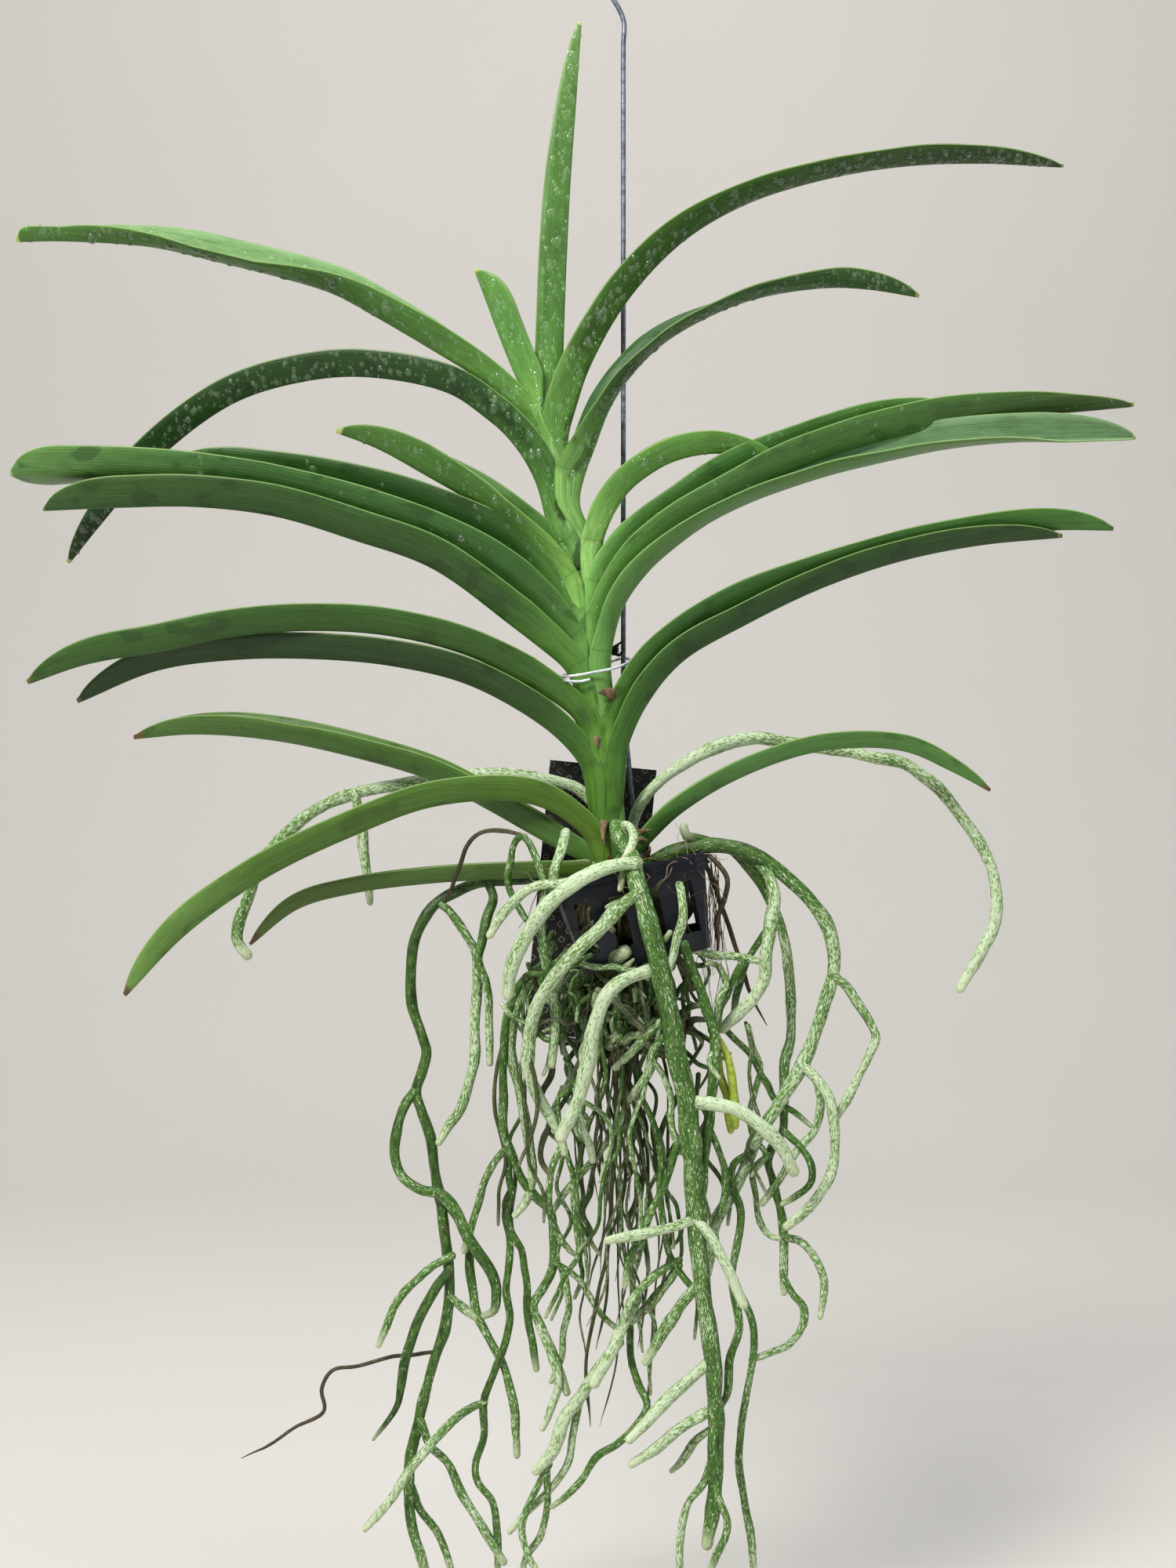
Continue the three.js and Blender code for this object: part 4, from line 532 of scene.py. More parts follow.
def leaf_line(leaf):
    """The keel from the sheath's foot to the tip, in mm, and the length of its sheath."""
    side, keel = leaf["side"], np.array(leaf["keel"], float)
    share = np.linspace(0, 1, len(keel))
    start, middle, tip = leaf["depth"]
    back = np.where(share < 0.5, start + (middle - start) * share * 2,
                    middle + (tip - middle) * (share * 2 - 1))
    blade, _ = line_through(place(keel[:, 0], keel[:, 1], back))
    out = (blade[:, 0] - seam_at(blade[:, 2])) * side
    down = height_in_drawing(blade[:, 2])
    free = np.nonzero(out > SHEATH_OUT[1] * leaf["clasp"] * girth_at(down))[0]
    blade = blade[0 if leaf["bare"] else free[0]:]
    lip = height_in_drawing(blade[0, 2])
    steps = np.arange(leaf["foot"], lip + SHEATH_STEP, -SHEATH_STEP)
    if len(steps) < 3:
        steps = np.linspace(lip + 16, lip + 5, 3)
    flank = place(CENTRE[0], steps)
    reach = (steps - steps[0]) / (lip - steps[0])
    flank[:, 0] = seam_at(flank[:, 2]) + side * sheath_out(reach, leaf["clasp"]) * girth_at(steps)
    flank[:, 1] = -HOOK[1] + start
    line = np.vstack([flank, blade])
    run = lengths(line)
    sheath = run[len(flank) - 1]
    fine = np.arange(0, run[-1], 1.0)
    points = at_runs(line, run, fine)
    soft = points.copy()
    kernel = np.exp(-np.linspace(-2.5, 2.5, 2 * SOFT_REACH + 1) ** 2 / 2)
    kernel /= kernel.sum()
    for k in range(3):
        padded = np.concatenate([2 * points[0, k] - points[SOFT_REACH:0:-1, k], points[:, k],
                                 2 * points[-1, k] - points[-2:-SOFT_REACH - 2:-1, k]])
        soft[:, k] = np.convolve(padded, kernel, "valid")
    near = np.exp(-((fine - sheath) / SOFT_SPAN) ** 2)[:, None]
    points = points * (1 - near) + soft * near
    return np.vstack([points, line[-1:]]), sheath


def leaf_section(t, width, fold, b, deep, out):
    """The middle surface across a leaf: towards the front, and up from the keel. b: 0 sheath, 1 blade."""
    rounded = np.sqrt(t ** 2 + KEEL_ROUNDING ** 2) - KEEL_ROUNDING
    rounded = rounded / (math.sqrt(1 + KEEL_ROUNDING ** 2) - KEEL_ROUNDING)
    belly = 0.05 * width * np.sin(np.pi * np.abs(t)) * np.sign(t)
    blade = (width * np.sin(fold) * t + belly * np.cos(fold),
             width * np.cos(fold) * rounded - np.abs(belly) * np.sin(fold))
    sheath = (deep * np.sin(np.pi * t / 2), out * (1 - np.cos(np.pi * t / 2)))
    return [s * (1 - b) + v * b for s, v in zip(sheath, blade)]


def waves(run, phases, long, short):
    return np.sin(run / long + phases[0]) + 0.6 * np.sin(run / short + phases[1])


def leaf_piece(name, leaf, seed):
    """Builds a leaf. Returns the points of its outer and inner face, and how far out each row is."""
    line, sheath = leaf_line(leaf)
    total = lengths(line)[-1]
    count = int(total / LEAF_STEP)
    stations = np.linspace(0, 1, count) ** ROW_CROWDING
    centres, = at_shares(line, stations)
    run = total * stations - sheath
    blade_length = total - sheath
    along = np.clip(run / blade_length, 0, 1)
    tangents = tangents_of(centres)
    side = leaf["side"]
    up = unit(np.cross(tangents, [0, -1, 0]) * -side)
    out = unit(np.cross(up, tangents) * -side)
    half = leaf["width"] * width_at(along, leaf["taper"], leaf["blunt"] or TIP_WIDTH, leaf["base"])
    if leaf["blunt"]:
        left = np.clip((blade_length - run) / TIP_ROUNDING, 0, 1)
        half = half * (0.2 + 0.8 * np.sqrt(1 - (1 - left) ** 2))
    fold, roll = np.radians(evenly(leaf["fold"], along)), np.radians(evenly(leaf["roll"], along))
    b = smooth(run, -14, 20)
    roll = roll * b
    down = height_in_drawing(centres[:, 2])
    girth = girth_at(down)
    reach = smooth(run, -sheath, 0)
    deep = (SHEATH_DEEP[0] + (SHEATH_DEEP[1] - SHEATH_DEEP[0]) * reach) * girth
    out_wide = (sheath_out(reach, leaf["clasp"]) - 0.2) * girth
    t = ACROSS
    keel = np.minimum(THICKEST, 0.28 * half)
    random = np.random.default_rng(seed)
    phase = random.uniform(0, 6.28, 6)
    sides = {}
    for face in (0, 1):
        rows = []
        for i in range(count):
            r, p = leaf_section(t, half[i], fold[i], b[i], deep[i], out_wide[i])
            nr, np_ = -np.gradient(p), np.gradient(r)
            size = np.hypot(nr, np_)
            thick = keel[i] * (1 - 0.36 * np.abs(t) ** 0.8) * (0.75 + 0.25 * b[i])
            wave = np.abs(t) ** 3 * b[i] * smooth(along[i], 0.02, 0.2) * np.where(
                t > 0, waves(run[i], phase[:2], 17, 7.3), waves(run[i], phase[2:4], 15, 8.1)) * MARGIN_WAVE
            lift = face * thick + wave
            r, p = r + nr / size * lift, p + np_ / size * lift
            turned_p = p * math.cos(roll[i]) - r * math.sin(roll[i])
            turned_r = p * math.sin(roll[i]) + r * math.cos(roll[i])
            rows.append(centres[i] + turned_p[:, None] * up[i] + turned_r[:, None] * out[i])
        sides[face] = np.array(rows)
    rim = []
    for end, inside in ((0, 1), (-1, -2)):
        middle = (sides[0][:, end] + sides[1][:, end]) / 2
        away = unit(middle - (sides[0][:, inside] + sides[1][:, inside]) / 2)
        rim.append(middle + away * RIM_BULGE)
    rings = np.concatenate([sides[0], rim[1][:, None], sides[1][:, ::-1], rim[0][:, None]], axis=1)
    if not leaf["bare"]:
        limit_to_side(rings, side, run)
    across = np.concatenate([t, [1.03], t[::-1], [-1.03]])
    inner = np.concatenate([np.zeros(len(t)), [0.5], np.ones(len(t)), [0.5]])
    shape = rings.shape[:2]
    grain = np.stack([np.broadcast_to(run[:, None], shape), across[None, :] * half[:, None],
                      np.broadcast_to(inner[None, :] * 40 + seed * 7.0, shape)], -1)
    tone = np.stack([np.broadcast_to(along[:, None], shape), np.broadcast_to(across[None, :], shape),
                     np.broadcast_to(inner[None, :], shape)], -1)
    piece = Piece(name + "_blade")
    piece.loft(rings, {"grain": grain, "tone": tone})
    piece.build(leaf_finish(name, leaf, blade_length), (name,))
    return sides, run


def limit_to_side(rings, side, run):
    """Near the stem, the margins of the two ranks of leaves meet at a seam over its axis."""
    near = 1 - smooth(run, 45, 75)[:, None]   # mm out along the leaf
    off = (rings[..., 0] - seam_at(rings[..., 2])) * side
    edge = -0.25   # mm past the seam, from where a margin is held back
    held = np.where(off < edge, edge + (off - edge) * 0.06, off)
    rings[..., 0] += (held - off) * side * near


def changed(colour, factor, lift=0.0):
    """A colour made darker or lighter."""
    return tuple(min(1.0, factor * c + lift) for c in colour)


def leaf_finish(name, leaf, length):
    finish = Finish(name + "_skin", Specular_IOR_Level=0.27, Coat_Weight=0.06, Coat_Roughness=0.2)
    grain, tone = finish.mark("grain"), finish.mark("tone")
    along, across, inner = finish.split(tone)
    run, _, _ = finish.split(grain)
    base, middle, outer, inside = (rgb(*colour) for colour in leaf["tones"])
    patches = finish.noise(finish.stretch(grain, (0.35, 1.6, 1)), 0.045, 3, 0.55)
    drift = finish.calc("MULTIPLY_ADD", patches, 0.5, -0.25)
    place_along = finish.plus(finish.calc("DIVIDE", run, length), drift)
    colour = finish.ramp(place_along, (0.0, base), (0.24, middle), (0.62, middle), (0.97, outer))
    sheath = finish.between(run, 4, -5)
    glow = finish.between(run, 50, -10, 0, 0.4)
    colour = finish.mix(finish.calc("MAXIMUM", glow, finish.times(sheath, 0.8)), colour,
                        rgb(*leaf["sheath"]))
    # The inner face's tone, which for some leaves is painted light or painted shade on that face as well as
    # its own colour.
    colour = finish.mix(finish.times(inner, leaf["bright"]), colour, inside)
    mottle = finish.noise(finish.stretch(grain, (0.3, 1, 1)), 0.35, 4, 0.6)
    colour = finish.mix(finish.between(mottle, 0.4, 0.72, 0, 0.3), colour, changed(middle, 0.6))
    fibre = finish.noise(finish.stretch(grain, (0.012, 1, 1)), 1.35, 5, 0.75)
    veins = finish.calc("SINE", finish.calc("MULTIPLY_ADD", fibre, 5.0, finish.times(across, 70.0)))
    lightly = finish.between(fibre, 0.5, 0.68, 0, 0.55)
    colour = finish.mix(lightly, colour, changed(middle, 1.55, 0.012))
    darkly = finish.between(fibre, 0.5, 0.33, 0, 0.55)
    colour = finish.mix(darkly, colour, changed(middle, 0.55))
    colour = finish.mix(finish.between(veins, 0.2, 1.0, 0.0, 0.16), colour, changed(middle, 0.5))
    blotch = finish.noise(finish.stretch(grain, (0.6, 1, 1)), 0.075, 2, 0.5, 0.2)
    wet = finish.between(blotch, 0.56, 0.65, 0, leaf["wet"])
    colour = finish.mix(wet, colour, changed(middle, 0.5))
    edge = finish.calc("ABSOLUTE", across)
    # Partly the margin's own paler edge and partly a painted highlight: a thin pale line along each margin,
    # weaker near the stem.
    margin = finish.times(finish.between(edge, 0.975, 1.0, 0, 0.42), finish.between(run, 0, 60, 0.45, 1))
    colour = finish.mix(margin, colour, rgb(152, 184, 104))
    keel = finish.times(finish.between(edge, 0.035, 0.0, 0, 0.3), finish.calc("SUBTRACT", 1.0, inner))
    colour = finish.mix(keel, colour, rgb(132, 170, 84))
    tip_noise = finish.plus(run, finish.calc("MULTIPLY_ADD", blotch, 8.0, -4.0))
    pale = finish.between(tip_noise, length - 2.4, length - 0.4, 0, 0.8)
    colour = finish.mix(pale, colour, rgb(*leaf["point"]))
    if leaf["brown"]:
        brown = finish.between(tip_noise, length - leaf["brown"], length - leaf["brown"] + 4)
        colour = finish.mix(brown, colour, rgb(96, 74, 44))
    crease = finish.off(finish.plus(run, finish.times(finish.noise(grain, 0.12, 2), 3.0)), 2.5)
    joint_line = finish.between(crease, 0.7, 0.2, 0, leaf["joint"])
    colour = finish.mix(joint_line, colour, rgb(48, 74, 26))
    finish.colour(colour)
    gloss = finish.between(finish.noise(grain, 0.5, 3, 0.6), 0.3, 0.75, 0.3, 0.48)
    finish.rough(finish.mix(wet, gloss, (0.16, 0.16, 0.16)))
    finish.bump(finish.plus(finish.times(veins, 0.12), finish.times(fibre, 1.2)), 0.00025, 0.6)
    return finish.material


leaf_surfaces = {}
for number, (leaf_name, leaf) in enumerate(LEAVES.items()):
    leaf_surfaces[leaf_name] = leaf_piece(leaf_name, {**LEAF_DEFAULTS, **leaf}, number + 3)


# ------------------------------------------------------------------ tubes and the stem's core

DOME = np.radians([30, 58, 78])   # the levels of the rings that round off an end


def tube(piece, line, radii, sides, marks, round_end=True):
    """A tube along a line. It starts in a dome, and ends in one where it is asked to."""
    normals, others = frames_of(line)
    angles = corners(sides)
    around = (normals[:, None] * np.cos(angles)[None, :, None]
              + others[:, None] * np.sin(angles)[None, :, None])
    radii = np.asarray(radii, float)
    if radii.ndim < 2:
        radii = np.repeat(np.broadcast_to(radii, len(line))[:, None], sides, axis=1)
    rings = line[:, None] + around * radii[..., None]
    tangents = tangents_of(line)
    flat = np.stack([radii * np.cos(angles), radii * np.sin(angles),
                     np.broadcast_to(lengths(line)[:, None], radii.shape)], -1)
    extra = {name: np.broadcast_to(value[:, None], (*radii.shape, 3)) for name, value in marks.items()}
    parts = [(rings, flat, extra)]
    for at, ahead in ((0, -1), (-1, 1)) if round_end else ((0, -1),):
        size = radii[at].mean()
        dome = np.array([line[at] + tangents[at] * ahead * size * math.sin(step)
                         + around[at] * (radii[at] * math.cos(step))[:, None] for step in DOME])
        flats = np.repeat(flat[at][None], len(DOME), axis=0)
        flats[..., 2] += ahead * size * np.sin(DOME)[:, None]
        mores = {name: np.repeat(value[at][None], len(DOME), axis=0) for name, value in extra.items()}
        if at == 0:
            parts.insert(0, (dome[::-1], flats[::-1], mores))
        else:
            parts.append((dome, flats, mores))
    values = {name: np.concatenate([part[2][name] for part in parts]) for name in marks}
    values["grain"] = np.concatenate([part[1] for part in parts]) + piece.offset
    piece.loft(np.concatenate([part[0] for part in parts]), values)


def stem_finish():
    finish = Finish("stem_skin", Specular_IOR_Level=0.4)
    grain = finish.mark("grain")
    fibre = finish.noise(finish.stretch(grain, (1, 1, 0.05)), 1.2, 4, 0.6)
    colour = finish.ramp(fibre, (0.3, rgb(50, 78, 30)), (0.6, rgb(104, 140, 60)), (0.8, rgb(140, 160, 86)))
    brown = finish.between(finish.noise(grain, 0.2, 4, 0.6), 0.5, 0.7, 0, 0.7)
    finish.colour(finish.mix(brown, colour, rgb(92, 74, 44)))
    finish.rough(finish.between(fibre, 0.3, 0.7, 0.4, 0.65))
    finish.bump(fibre, 0.0008, 0.7)
    return finish.material


STEM_FOOT = 1112
STEM_WIDE, STEM_DEEP = 6.0, 5.0   # mm from the axis to either side, and to front and back
stem = Piece("stem_core")
stem_downs = np.arange(STEM_TOP - 4, STEM_FOOT, 5.0)
stem_points = place(CENTRE[0], stem_downs)
stem_points[:, 0] = axis_at(stem_points[:, 2])
stem_angles = corners(20)
stem_lump = 1 + 0.05 * np.sin(stem_downs[:, None] / 9 + 3 * stem_angles)
stem_size = (girth_at(stem_downs) * smooth(stem_downs, 540, 600))[:, None] * stem_lump
stem_rings = stem_points[:, None] + np.stack([
    STEM_WIDE * stem_size * np.cos(stem_angles), STEM_DEEP * stem_size * np.sin(stem_angles),
    np.zeros(stem_size.shape)], -1)
stem.loft(stem_rings, {"grain": stem_rings - stem_points[:, None] * [1, 1, 0]})
stem.build(stem_finish(), ("stem",))


# ------------------------------------------------------------------ roots
# Each root has its route on the drawing, its depth in mm behind the stem, its radius in mm, and how green
# it is: 0 silver and dry, 1 dark and wet. The last three are spread evenly over the route.

WIRY = "wiry"   # in place of the green of an old, brown root
YELLOW = "yellow"

ROOTS = [
    # The thick leading root: over the front rim, down to its silver tip.
    ([(786, 1054), (794, 1078), (806, 1098), (815, 1135), (826, 1175), (840, 1232), (852, 1290),
     (864, 1350), (876, 1410), (884, 1480), (889, 1560), (897, 1640), (906, 1710), (912, 1790),
     (912, 1870), (910, 1920), (902, 1970)], [-9, -52, -56, -48, -40, -34, -30, -30],
     [4, 4.6, 5, 5.3, 5.2, 4.6, 4.2, 3.4], [0.62, 0.62, 0.66, 0.7, 0.66, 0.6, 0.66, 0.6]),
    # Silver arc to the left, high.
    ([(797, 1118), (780, 1088), (768, 1050), (754, 1024), (735, 1005), (700, 995), (650, 988), (600, 988),
     (540, 996), (480, 1006), (430, 1020), (390, 1042), (355, 1072), (332, 1105), (318, 1140), (305, 1175),
     (303, 1200), (315, 1218)], [6, 22, 27, 27, 30, 34, 32, 28, 26, 24], [3, 3.2, 3.4, 3.6, 3.6, 3.4, 3.2],
     [0.3, 0.2, 0.2, 0.25, 0.4, 0.5, 0.45]),
    ([(452, 1012), (459, 1045), (465, 1090), (472, 1151)], [31, 30, 30], [2.8, 2.9, 2.6], [0.4, 0.3]),
    # Silver arc to the right, high.
    ([(797, 1120), (803, 1088), (806, 1055), (820, 1020), (848, 992), (880, 970), (915, 952), (955, 943),
     (1000, 946), (1050, 953), (1100, 963), (1150, 973), (1190, 1000), (1228, 1045), (1256, 1085),
     (1270, 1130), (1267, 1180), (1247, 1222), (1225, 1260)], [6, 18, 14, 12, 14, 16, 16, 14, 12, 10],
     [3, 3.2, 3.6, 3.6, 3.4, 3.2, 3.2], [0.15, 0.15, 0.25, 0.4, 0.3, 0.1]),
    # Three pale roots that leave the leading root in front of the basket.
    ([(812, 1100), (780, 1105), (745, 1119), (712, 1143), (686, 1170), (665, 1205), (652, 1238),
     (648, 1268)], [-54, -57, -56, -50, -44], [3.2, 4, 4, 3.8, 3.8], [0.3, 0.12, 0.12, 0.08]),
    ([(816, 1138), (788, 1158), (760, 1188), (732, 1218), (705, 1248), (684, 1283), (674, 1325),
     (673, 1365), (683, 1392), (700, 1420), (714, 1450), (720, 1470)], [-56, -58, -54, -42, -34, -30, -28],
     [3.4, 3.8, 3.8, 3.6, 3.2, 3, 2.8], [0.5, 0.35, 0.2, 0.2, 0.15, 0.25]),
    ([(846, 1234), (815, 1242), (787, 1256), (768, 1280), (757, 1315), (750, 1355), (740, 1395),
     (728, 1425), (716, 1450)], [-50, -58, -54, -48, -44], [3.4, 4, 4, 3.8, 3.8], [0.2, 0.15, 0.12, 0.08]),
    # The green shoulder to the right, and its long silver hanging roots.
    ([(800, 1116), (822, 1106), (845, 1093), (875, 1081), (910, 1077), (940, 1082), (970, 1096),
     (1000, 1118), (1030, 1144), (1050, 1170), (1061, 1205), (1063, 1240), (1053, 1280), (1040, 1320),
     (1018, 1368), (990, 1412), (966, 1450), (950, 1490), (932, 1525), (912, 1562), (906, 1600),
     (903, 1625)], [-4, -14, -16, -14, -12, -10, -10, -12, -14, -16],
     [4, 4.2, 4, 3.8, 3.6, 3.6, 3.6, 3.4, 2.4], [0.85, 0.85, 0.75, 0.45, 0.4, 0.35, 0.3, 0.35]),
    ([(935, 1083), (955, 1104), (972, 1130), (984, 1152), (996, 1185), (1006, 1230), (1009, 1275),
     (1007, 1320), (1000, 1360), (1000, 1410), (998, 1442), (984, 1462), (978, 1482), (986, 1508),
     (996, 1540), (1001, 1580), (1000, 1615), (1000, 1648)], [-12, -2, 4, 6, 4, 0, -2, -4],
     [3, 2.9, 2.8, 2.7, 2.4, 2.4, 2.4, 2.4], [0.75, 0.6, 0.4, 0.5, 0.75, 0.8, 0.7, 0.4]),
    ([(962, 1095), (980, 1118), (988, 1145), (982, 1185), (976, 1220), (975, 1248), (962, 1272),
     (942, 1292), (922, 1312)], [-12, -20, -24, -22, -18], [2.8, 3.4, 3.4, 3.6, 3.2],
     [0.5, 0.3, 0.2, 0.2]),
    ([(1061, 1244), (1078, 1256), (1094, 1280), (1110, 1304), (1118, 1325), (1108, 1348), (1092, 1378),
     (1078, 1405), (1067, 1425)], [-12, -12, -10], [2.4, 2.4, 2.4], [0.45, 0.25, 0.3]),
    ([(1022, 1358), (1040, 1374), (1056, 1396), (1063, 1425), (1064, 1465), (1058, 1500), (1042, 1528),
     (1025, 1548), (1004, 1564)], [-12, -16, -16, -14], [2.6, 2.8, 2.8], [0.35, 0.25, 0.3]),
    ([(1043, 1378), (1046, 1410), (1040, 1440), (1022, 1462), (1004, 1486), (990, 1512), (972, 1535)],
     [-14, -6, 0], [2.2, 2.2, 2.2], [0.3, 0.3]),
    ([(873, 1404), (905, 1408), (940, 1415), (966, 1432), (988, 1455), (1002, 1476), (1012, 1494)],
     [-44, -46, -40], [3.2, 3.6, 3.6, 3.8], [0.15, 0.1, 0.2]),
    ([(884, 1556), (855, 1566), (820, 1572), (776, 1582)], [-40, -44, -46], [2.6, 2.7, 2.9], [0.2, 0.12]),
    ([(888, 1556), (908, 1578), (928, 1618), (948, 1664)], [-40, -44, -46], [2.6, 2.8, 3], [0.25, 0.08]),
    ([(908, 1734), (870, 1768), (838, 1800), (803, 1836)], [-30, -38, -44], [3, 3.6, 3.4], [0.3, 0.15]),
    ([(910, 1796), (870, 1820), (838, 1846), (806, 1867)], [-28, -34, -40], [2.8, 3.2, 3], [0.3, 0.15]),
    ([(908, 1822), (886, 1838), (872, 1862), (857, 1876)], [-26, -22, -20], [2, 2.2, 2], [0.3, 0.3]),
    ([(908, 1862), (896, 1892), (877, 1920), (868, 1960), (866, 2015)], [-30, -28, -26], [2, 2.1, 2],
     [0.5, 0.3]),
    ([(908, 1872), (916, 1910), (928, 1942), (922, 1965), (905, 2005)], [-32, -34, -34], [2, 2.1, 2],
     [0.7, 0.5]),
    ([(873, 1205), (884, 1240), (900, 1280), (911, 1325), (909, 1380), (902, 1440), (897, 1500),
     (891, 1550)], [-40, -36, -34, -38], [2.8, 2.8, 2.8], [0.75, 0.6, 0.75]),
    # The dark shoulder to the left and what hangs from it.
    ([(792, 1135), (760, 1128), (715, 1126), (670, 1122), (620, 1125), (580, 1138), (550, 1160),
     (530, 1195), (524, 1240), (526, 1285), (538, 1318), (545, 1342), (538, 1368), (530, 1392),
     (540, 1420), (550, 1460), (557, 1505), (564, 1552), (571, 1600), (574, 1645), (568, 1690),
     (552, 1740), (541, 1785), (530, 1830), (522, 1875), (522, 1920), (528, 1960), (545, 2010)],
     [4, 20, 22, 18, 14, 12, 10, 10, 10, 8, 6, 6], [2.8, 3, 3, 2.9, 2.8, 2.8, 2.9, 3, 3, 2.8],
     [0.92, 0.9, 0.9, 0.85, 0.8, 0.85, 0.8, 0.75, 0.7, 0.6]),
    ([(530, 1390), (516, 1412), (506, 1440), (503, 1475), (512, 1500), (535, 1516), (562, 1524),
     (582, 1545), (594, 1572), (610, 1598), (626, 1622), (634, 1648), (630, 1672), (618, 1678)],
     [12, 6, 2, 0, 2, 4], [2.6, 2.7, 2.9, 3.2, 3, 2.6], [0.85, 0.75, 0.6, 0.7, 0.8, 0.6]),
    ([(556, 1505), (566, 1528), (584, 1552), (598, 1590), (598, 1615), (604, 1650), (611, 1685),
     (626, 1712), (640, 1738), (652, 1775), (659, 1820), (659, 1856)], [12, 8, 4, 2],
     [2.4, 2.5, 2.4, 2.3, 2.4], [0.8, 0.75, 0.6, 0.45]),
    ([(560, 1152), (578, 1165), (597, 1196), (608, 1218), (609, 1260), (606, 1305), (607, 1345),
     (598, 1385), (588, 1415), (573, 1437), (560, 1457)], [20, 12, 6, 4, 4], [2.2, 2.5, 2.8, 2.7, 2.4],
     [0.45, 0.6, 0.3, 0.35, 0.3]),
    ([(622, 1125), (629, 1145), (620, 1170), (615, 1200), (611, 1225), (620, 1255), (624, 1300),
     (625, 1356)], [21, 6, 3, 2], [2.4, 2.6, 2.2, 2], [0.75, 0.8, 0.5, 0.3]),
    ([(576, 1602), (545, 1620), (515, 1650), (496, 1683), (483, 1716)], [6, 2, -2], [2.2, 2.3, 2],
     [0.6, 0.35]),
    ([(574, 1618), (552, 1652), (532, 1688), (519, 1725), (511, 1765), (505, 1796), (476, 1836)],
     [6, 0, -4], [2.6, 2.7, 2.6, 1], [0.85, 0.9, 0.95]),
    ([(536, 1812), (552, 1848), (572, 1868), (588, 1905), (610, 1940), (632, 1975), (642, 1992)],
     [6, 2, 0], [2.2, 2.5, 2.4], [0.6, 0.5]),
    ([(522, 1890), (536, 1926), (558, 1955), (578, 2010)], [6, 10, 12], [2.4, 2.2, 2], [0.6, 0.5]),
    ([(575, 1655), (590, 1668), (606, 1680)], [7, 6, 5], [2.4, 2.4, 2.2], [0.6, 0.5]),
    # Left middle strands.
    ([(740, 1122), (716, 1126), (695, 1128), (672, 1136), (652, 1152), (636, 1174), (625, 1193)],
     [-56, -54, -52, -50], [2.4, 2.6, 2.6], [0.4, 0.25, 0.2]),
    ([(722, 1062), (714, 1092), (707, 1118), (706, 1140)], [-30, -46, -52], [2.6, 3, 2.8],
     [0.3, 0.4, 0.5]),
    ([(700, 1128), (692, 1150), (690, 1185), (695, 1222), (703, 1255), (708, 1300), (704, 1358)],
     [-50, -48, -40, -34], [2.2, 2.6, 2.5, 2.6], [0.5, 0.4, 0.35]),
    ([(694, 1127), (684, 1096), (668, 1068), (655, 1078), (648, 1108), (650, 1134), (662, 1158),
     (676, 1178), (690, 1190)], [-53, -34, -30, -40], [2, 1.8, 1.6], [0.7, 0.7, 0.75]),
    ([(705, 1205), (690, 1235), (668, 1262), (656, 1295), (652, 1335), (660, 1380), (668, 1420),
     (674, 1455), (679, 1495), (672, 1532), (657, 1550)], [-36, -24, -14, -8, -6],
     [2.2, 2.6, 2.8, 2.7, 2.4], [0.6, 0.5, 0.4, 0.3]),
    ([(690, 1232), (662, 1258), (648, 1290), (643, 1340), (642, 1400), (643, 1440), (652, 1468),
     (662, 1500), (682, 1526), (702, 1545), (706, 1580), (705, 1615), (694, 1642), (682, 1666),
     (692, 1695), (706, 1725), (716, 1752), (723, 1776)], [-32, -20, -10, -6, -4, -8, -10],
     [2.2, 2.3, 2.4, 2.4, 2.3, 2.6], [0.75, 0.7, 0.7, 0.5, 0.4]),
    ([(648, 1462), (633, 1480), (618, 1508), (610, 1540), (600, 1568), (592, 1595)], [-8, -2, 2],
     [2, 2.1, 2.2], [0.6, 0.5]),
    ([(648, 1460), (650, 1500), (653, 1525), (645, 1548), (650, 1580), (648, 1620), (646, 1645),
     (652, 1680), (645, 1712), (634, 1738), (624, 1765), (617, 1790), (617, 1830), (606, 1868),
     (609, 1892), (628, 1915), (633, 1950), (635, 2008)], [-8, -2, 0, 0, 2, 6], [2.1, 2.1, 2, 2, 2],
     [0.8, 0.75, 0.8, 0.7, 0.7]),
    ([(652, 1518), (644, 1538), (652, 1570), (664, 1595), (671, 1625), (674, 1680), (680, 1712),
     (684, 1746)], [-4, -6, -6, -4], [1.9, 2, 2.1, 2.3], [0.75, 0.7, 0.75, 0.6]),
    ([(618, 1788), (590, 1802), (560, 1832), (530, 1866), (500, 1910), (466, 1950)], [0, -4, -8],
     [2.3, 2.6, 2.4], [0.45, 0.3]),
    # Middle strands below the basket.
    ([(716, 1462), (703, 1500), (700, 1540), (712, 1575), (728, 1596), (736, 1602)], [-28, -22, -18],
     [1.9, 1.9, 1.5], [0.5, 0.6]),
    ([(722, 1468), (730, 1500), (732, 1545), (738, 1600), (722, 1626), (696, 1680)], [-28, -24, -20],
     [1.5, 1.5, 1.2], [0.65, 0.6]),
    ([(738, 1398), (732, 1380), (722, 1395), (712, 1400), (713, 1430), (718, 1452)], [-47, -34, -30],
     [1.3, 1.3, 1.3], [0.6, 0.6]),
    ([(735, 1412), (745, 1440), (753, 1462), (756, 1480)], [-47, -34, -28], [1.8, 2.2, 2.2], [0.3, 0.1]),
    ([(803, 1399), (786, 1440), (765, 1470), (742, 1495), (722, 1520), (705, 1545)], [-24, -20, -14],
     [1.8, 2, 1.8], [0.5, 0.4]),
    ([(706, 1610), (735, 1628), (752, 1652), (768, 1678), (790, 1698)], [-8, -8, -10], [1.8, 1.8, 1.6],
     [0.55, 0.5]),
    ([(720, 1625), (725, 1660), (718, 1700), (716, 1735), (703, 1762)], [-10, -8, -6], [1.8, 1.8, 1.6],
     [0.5, 0.35]),
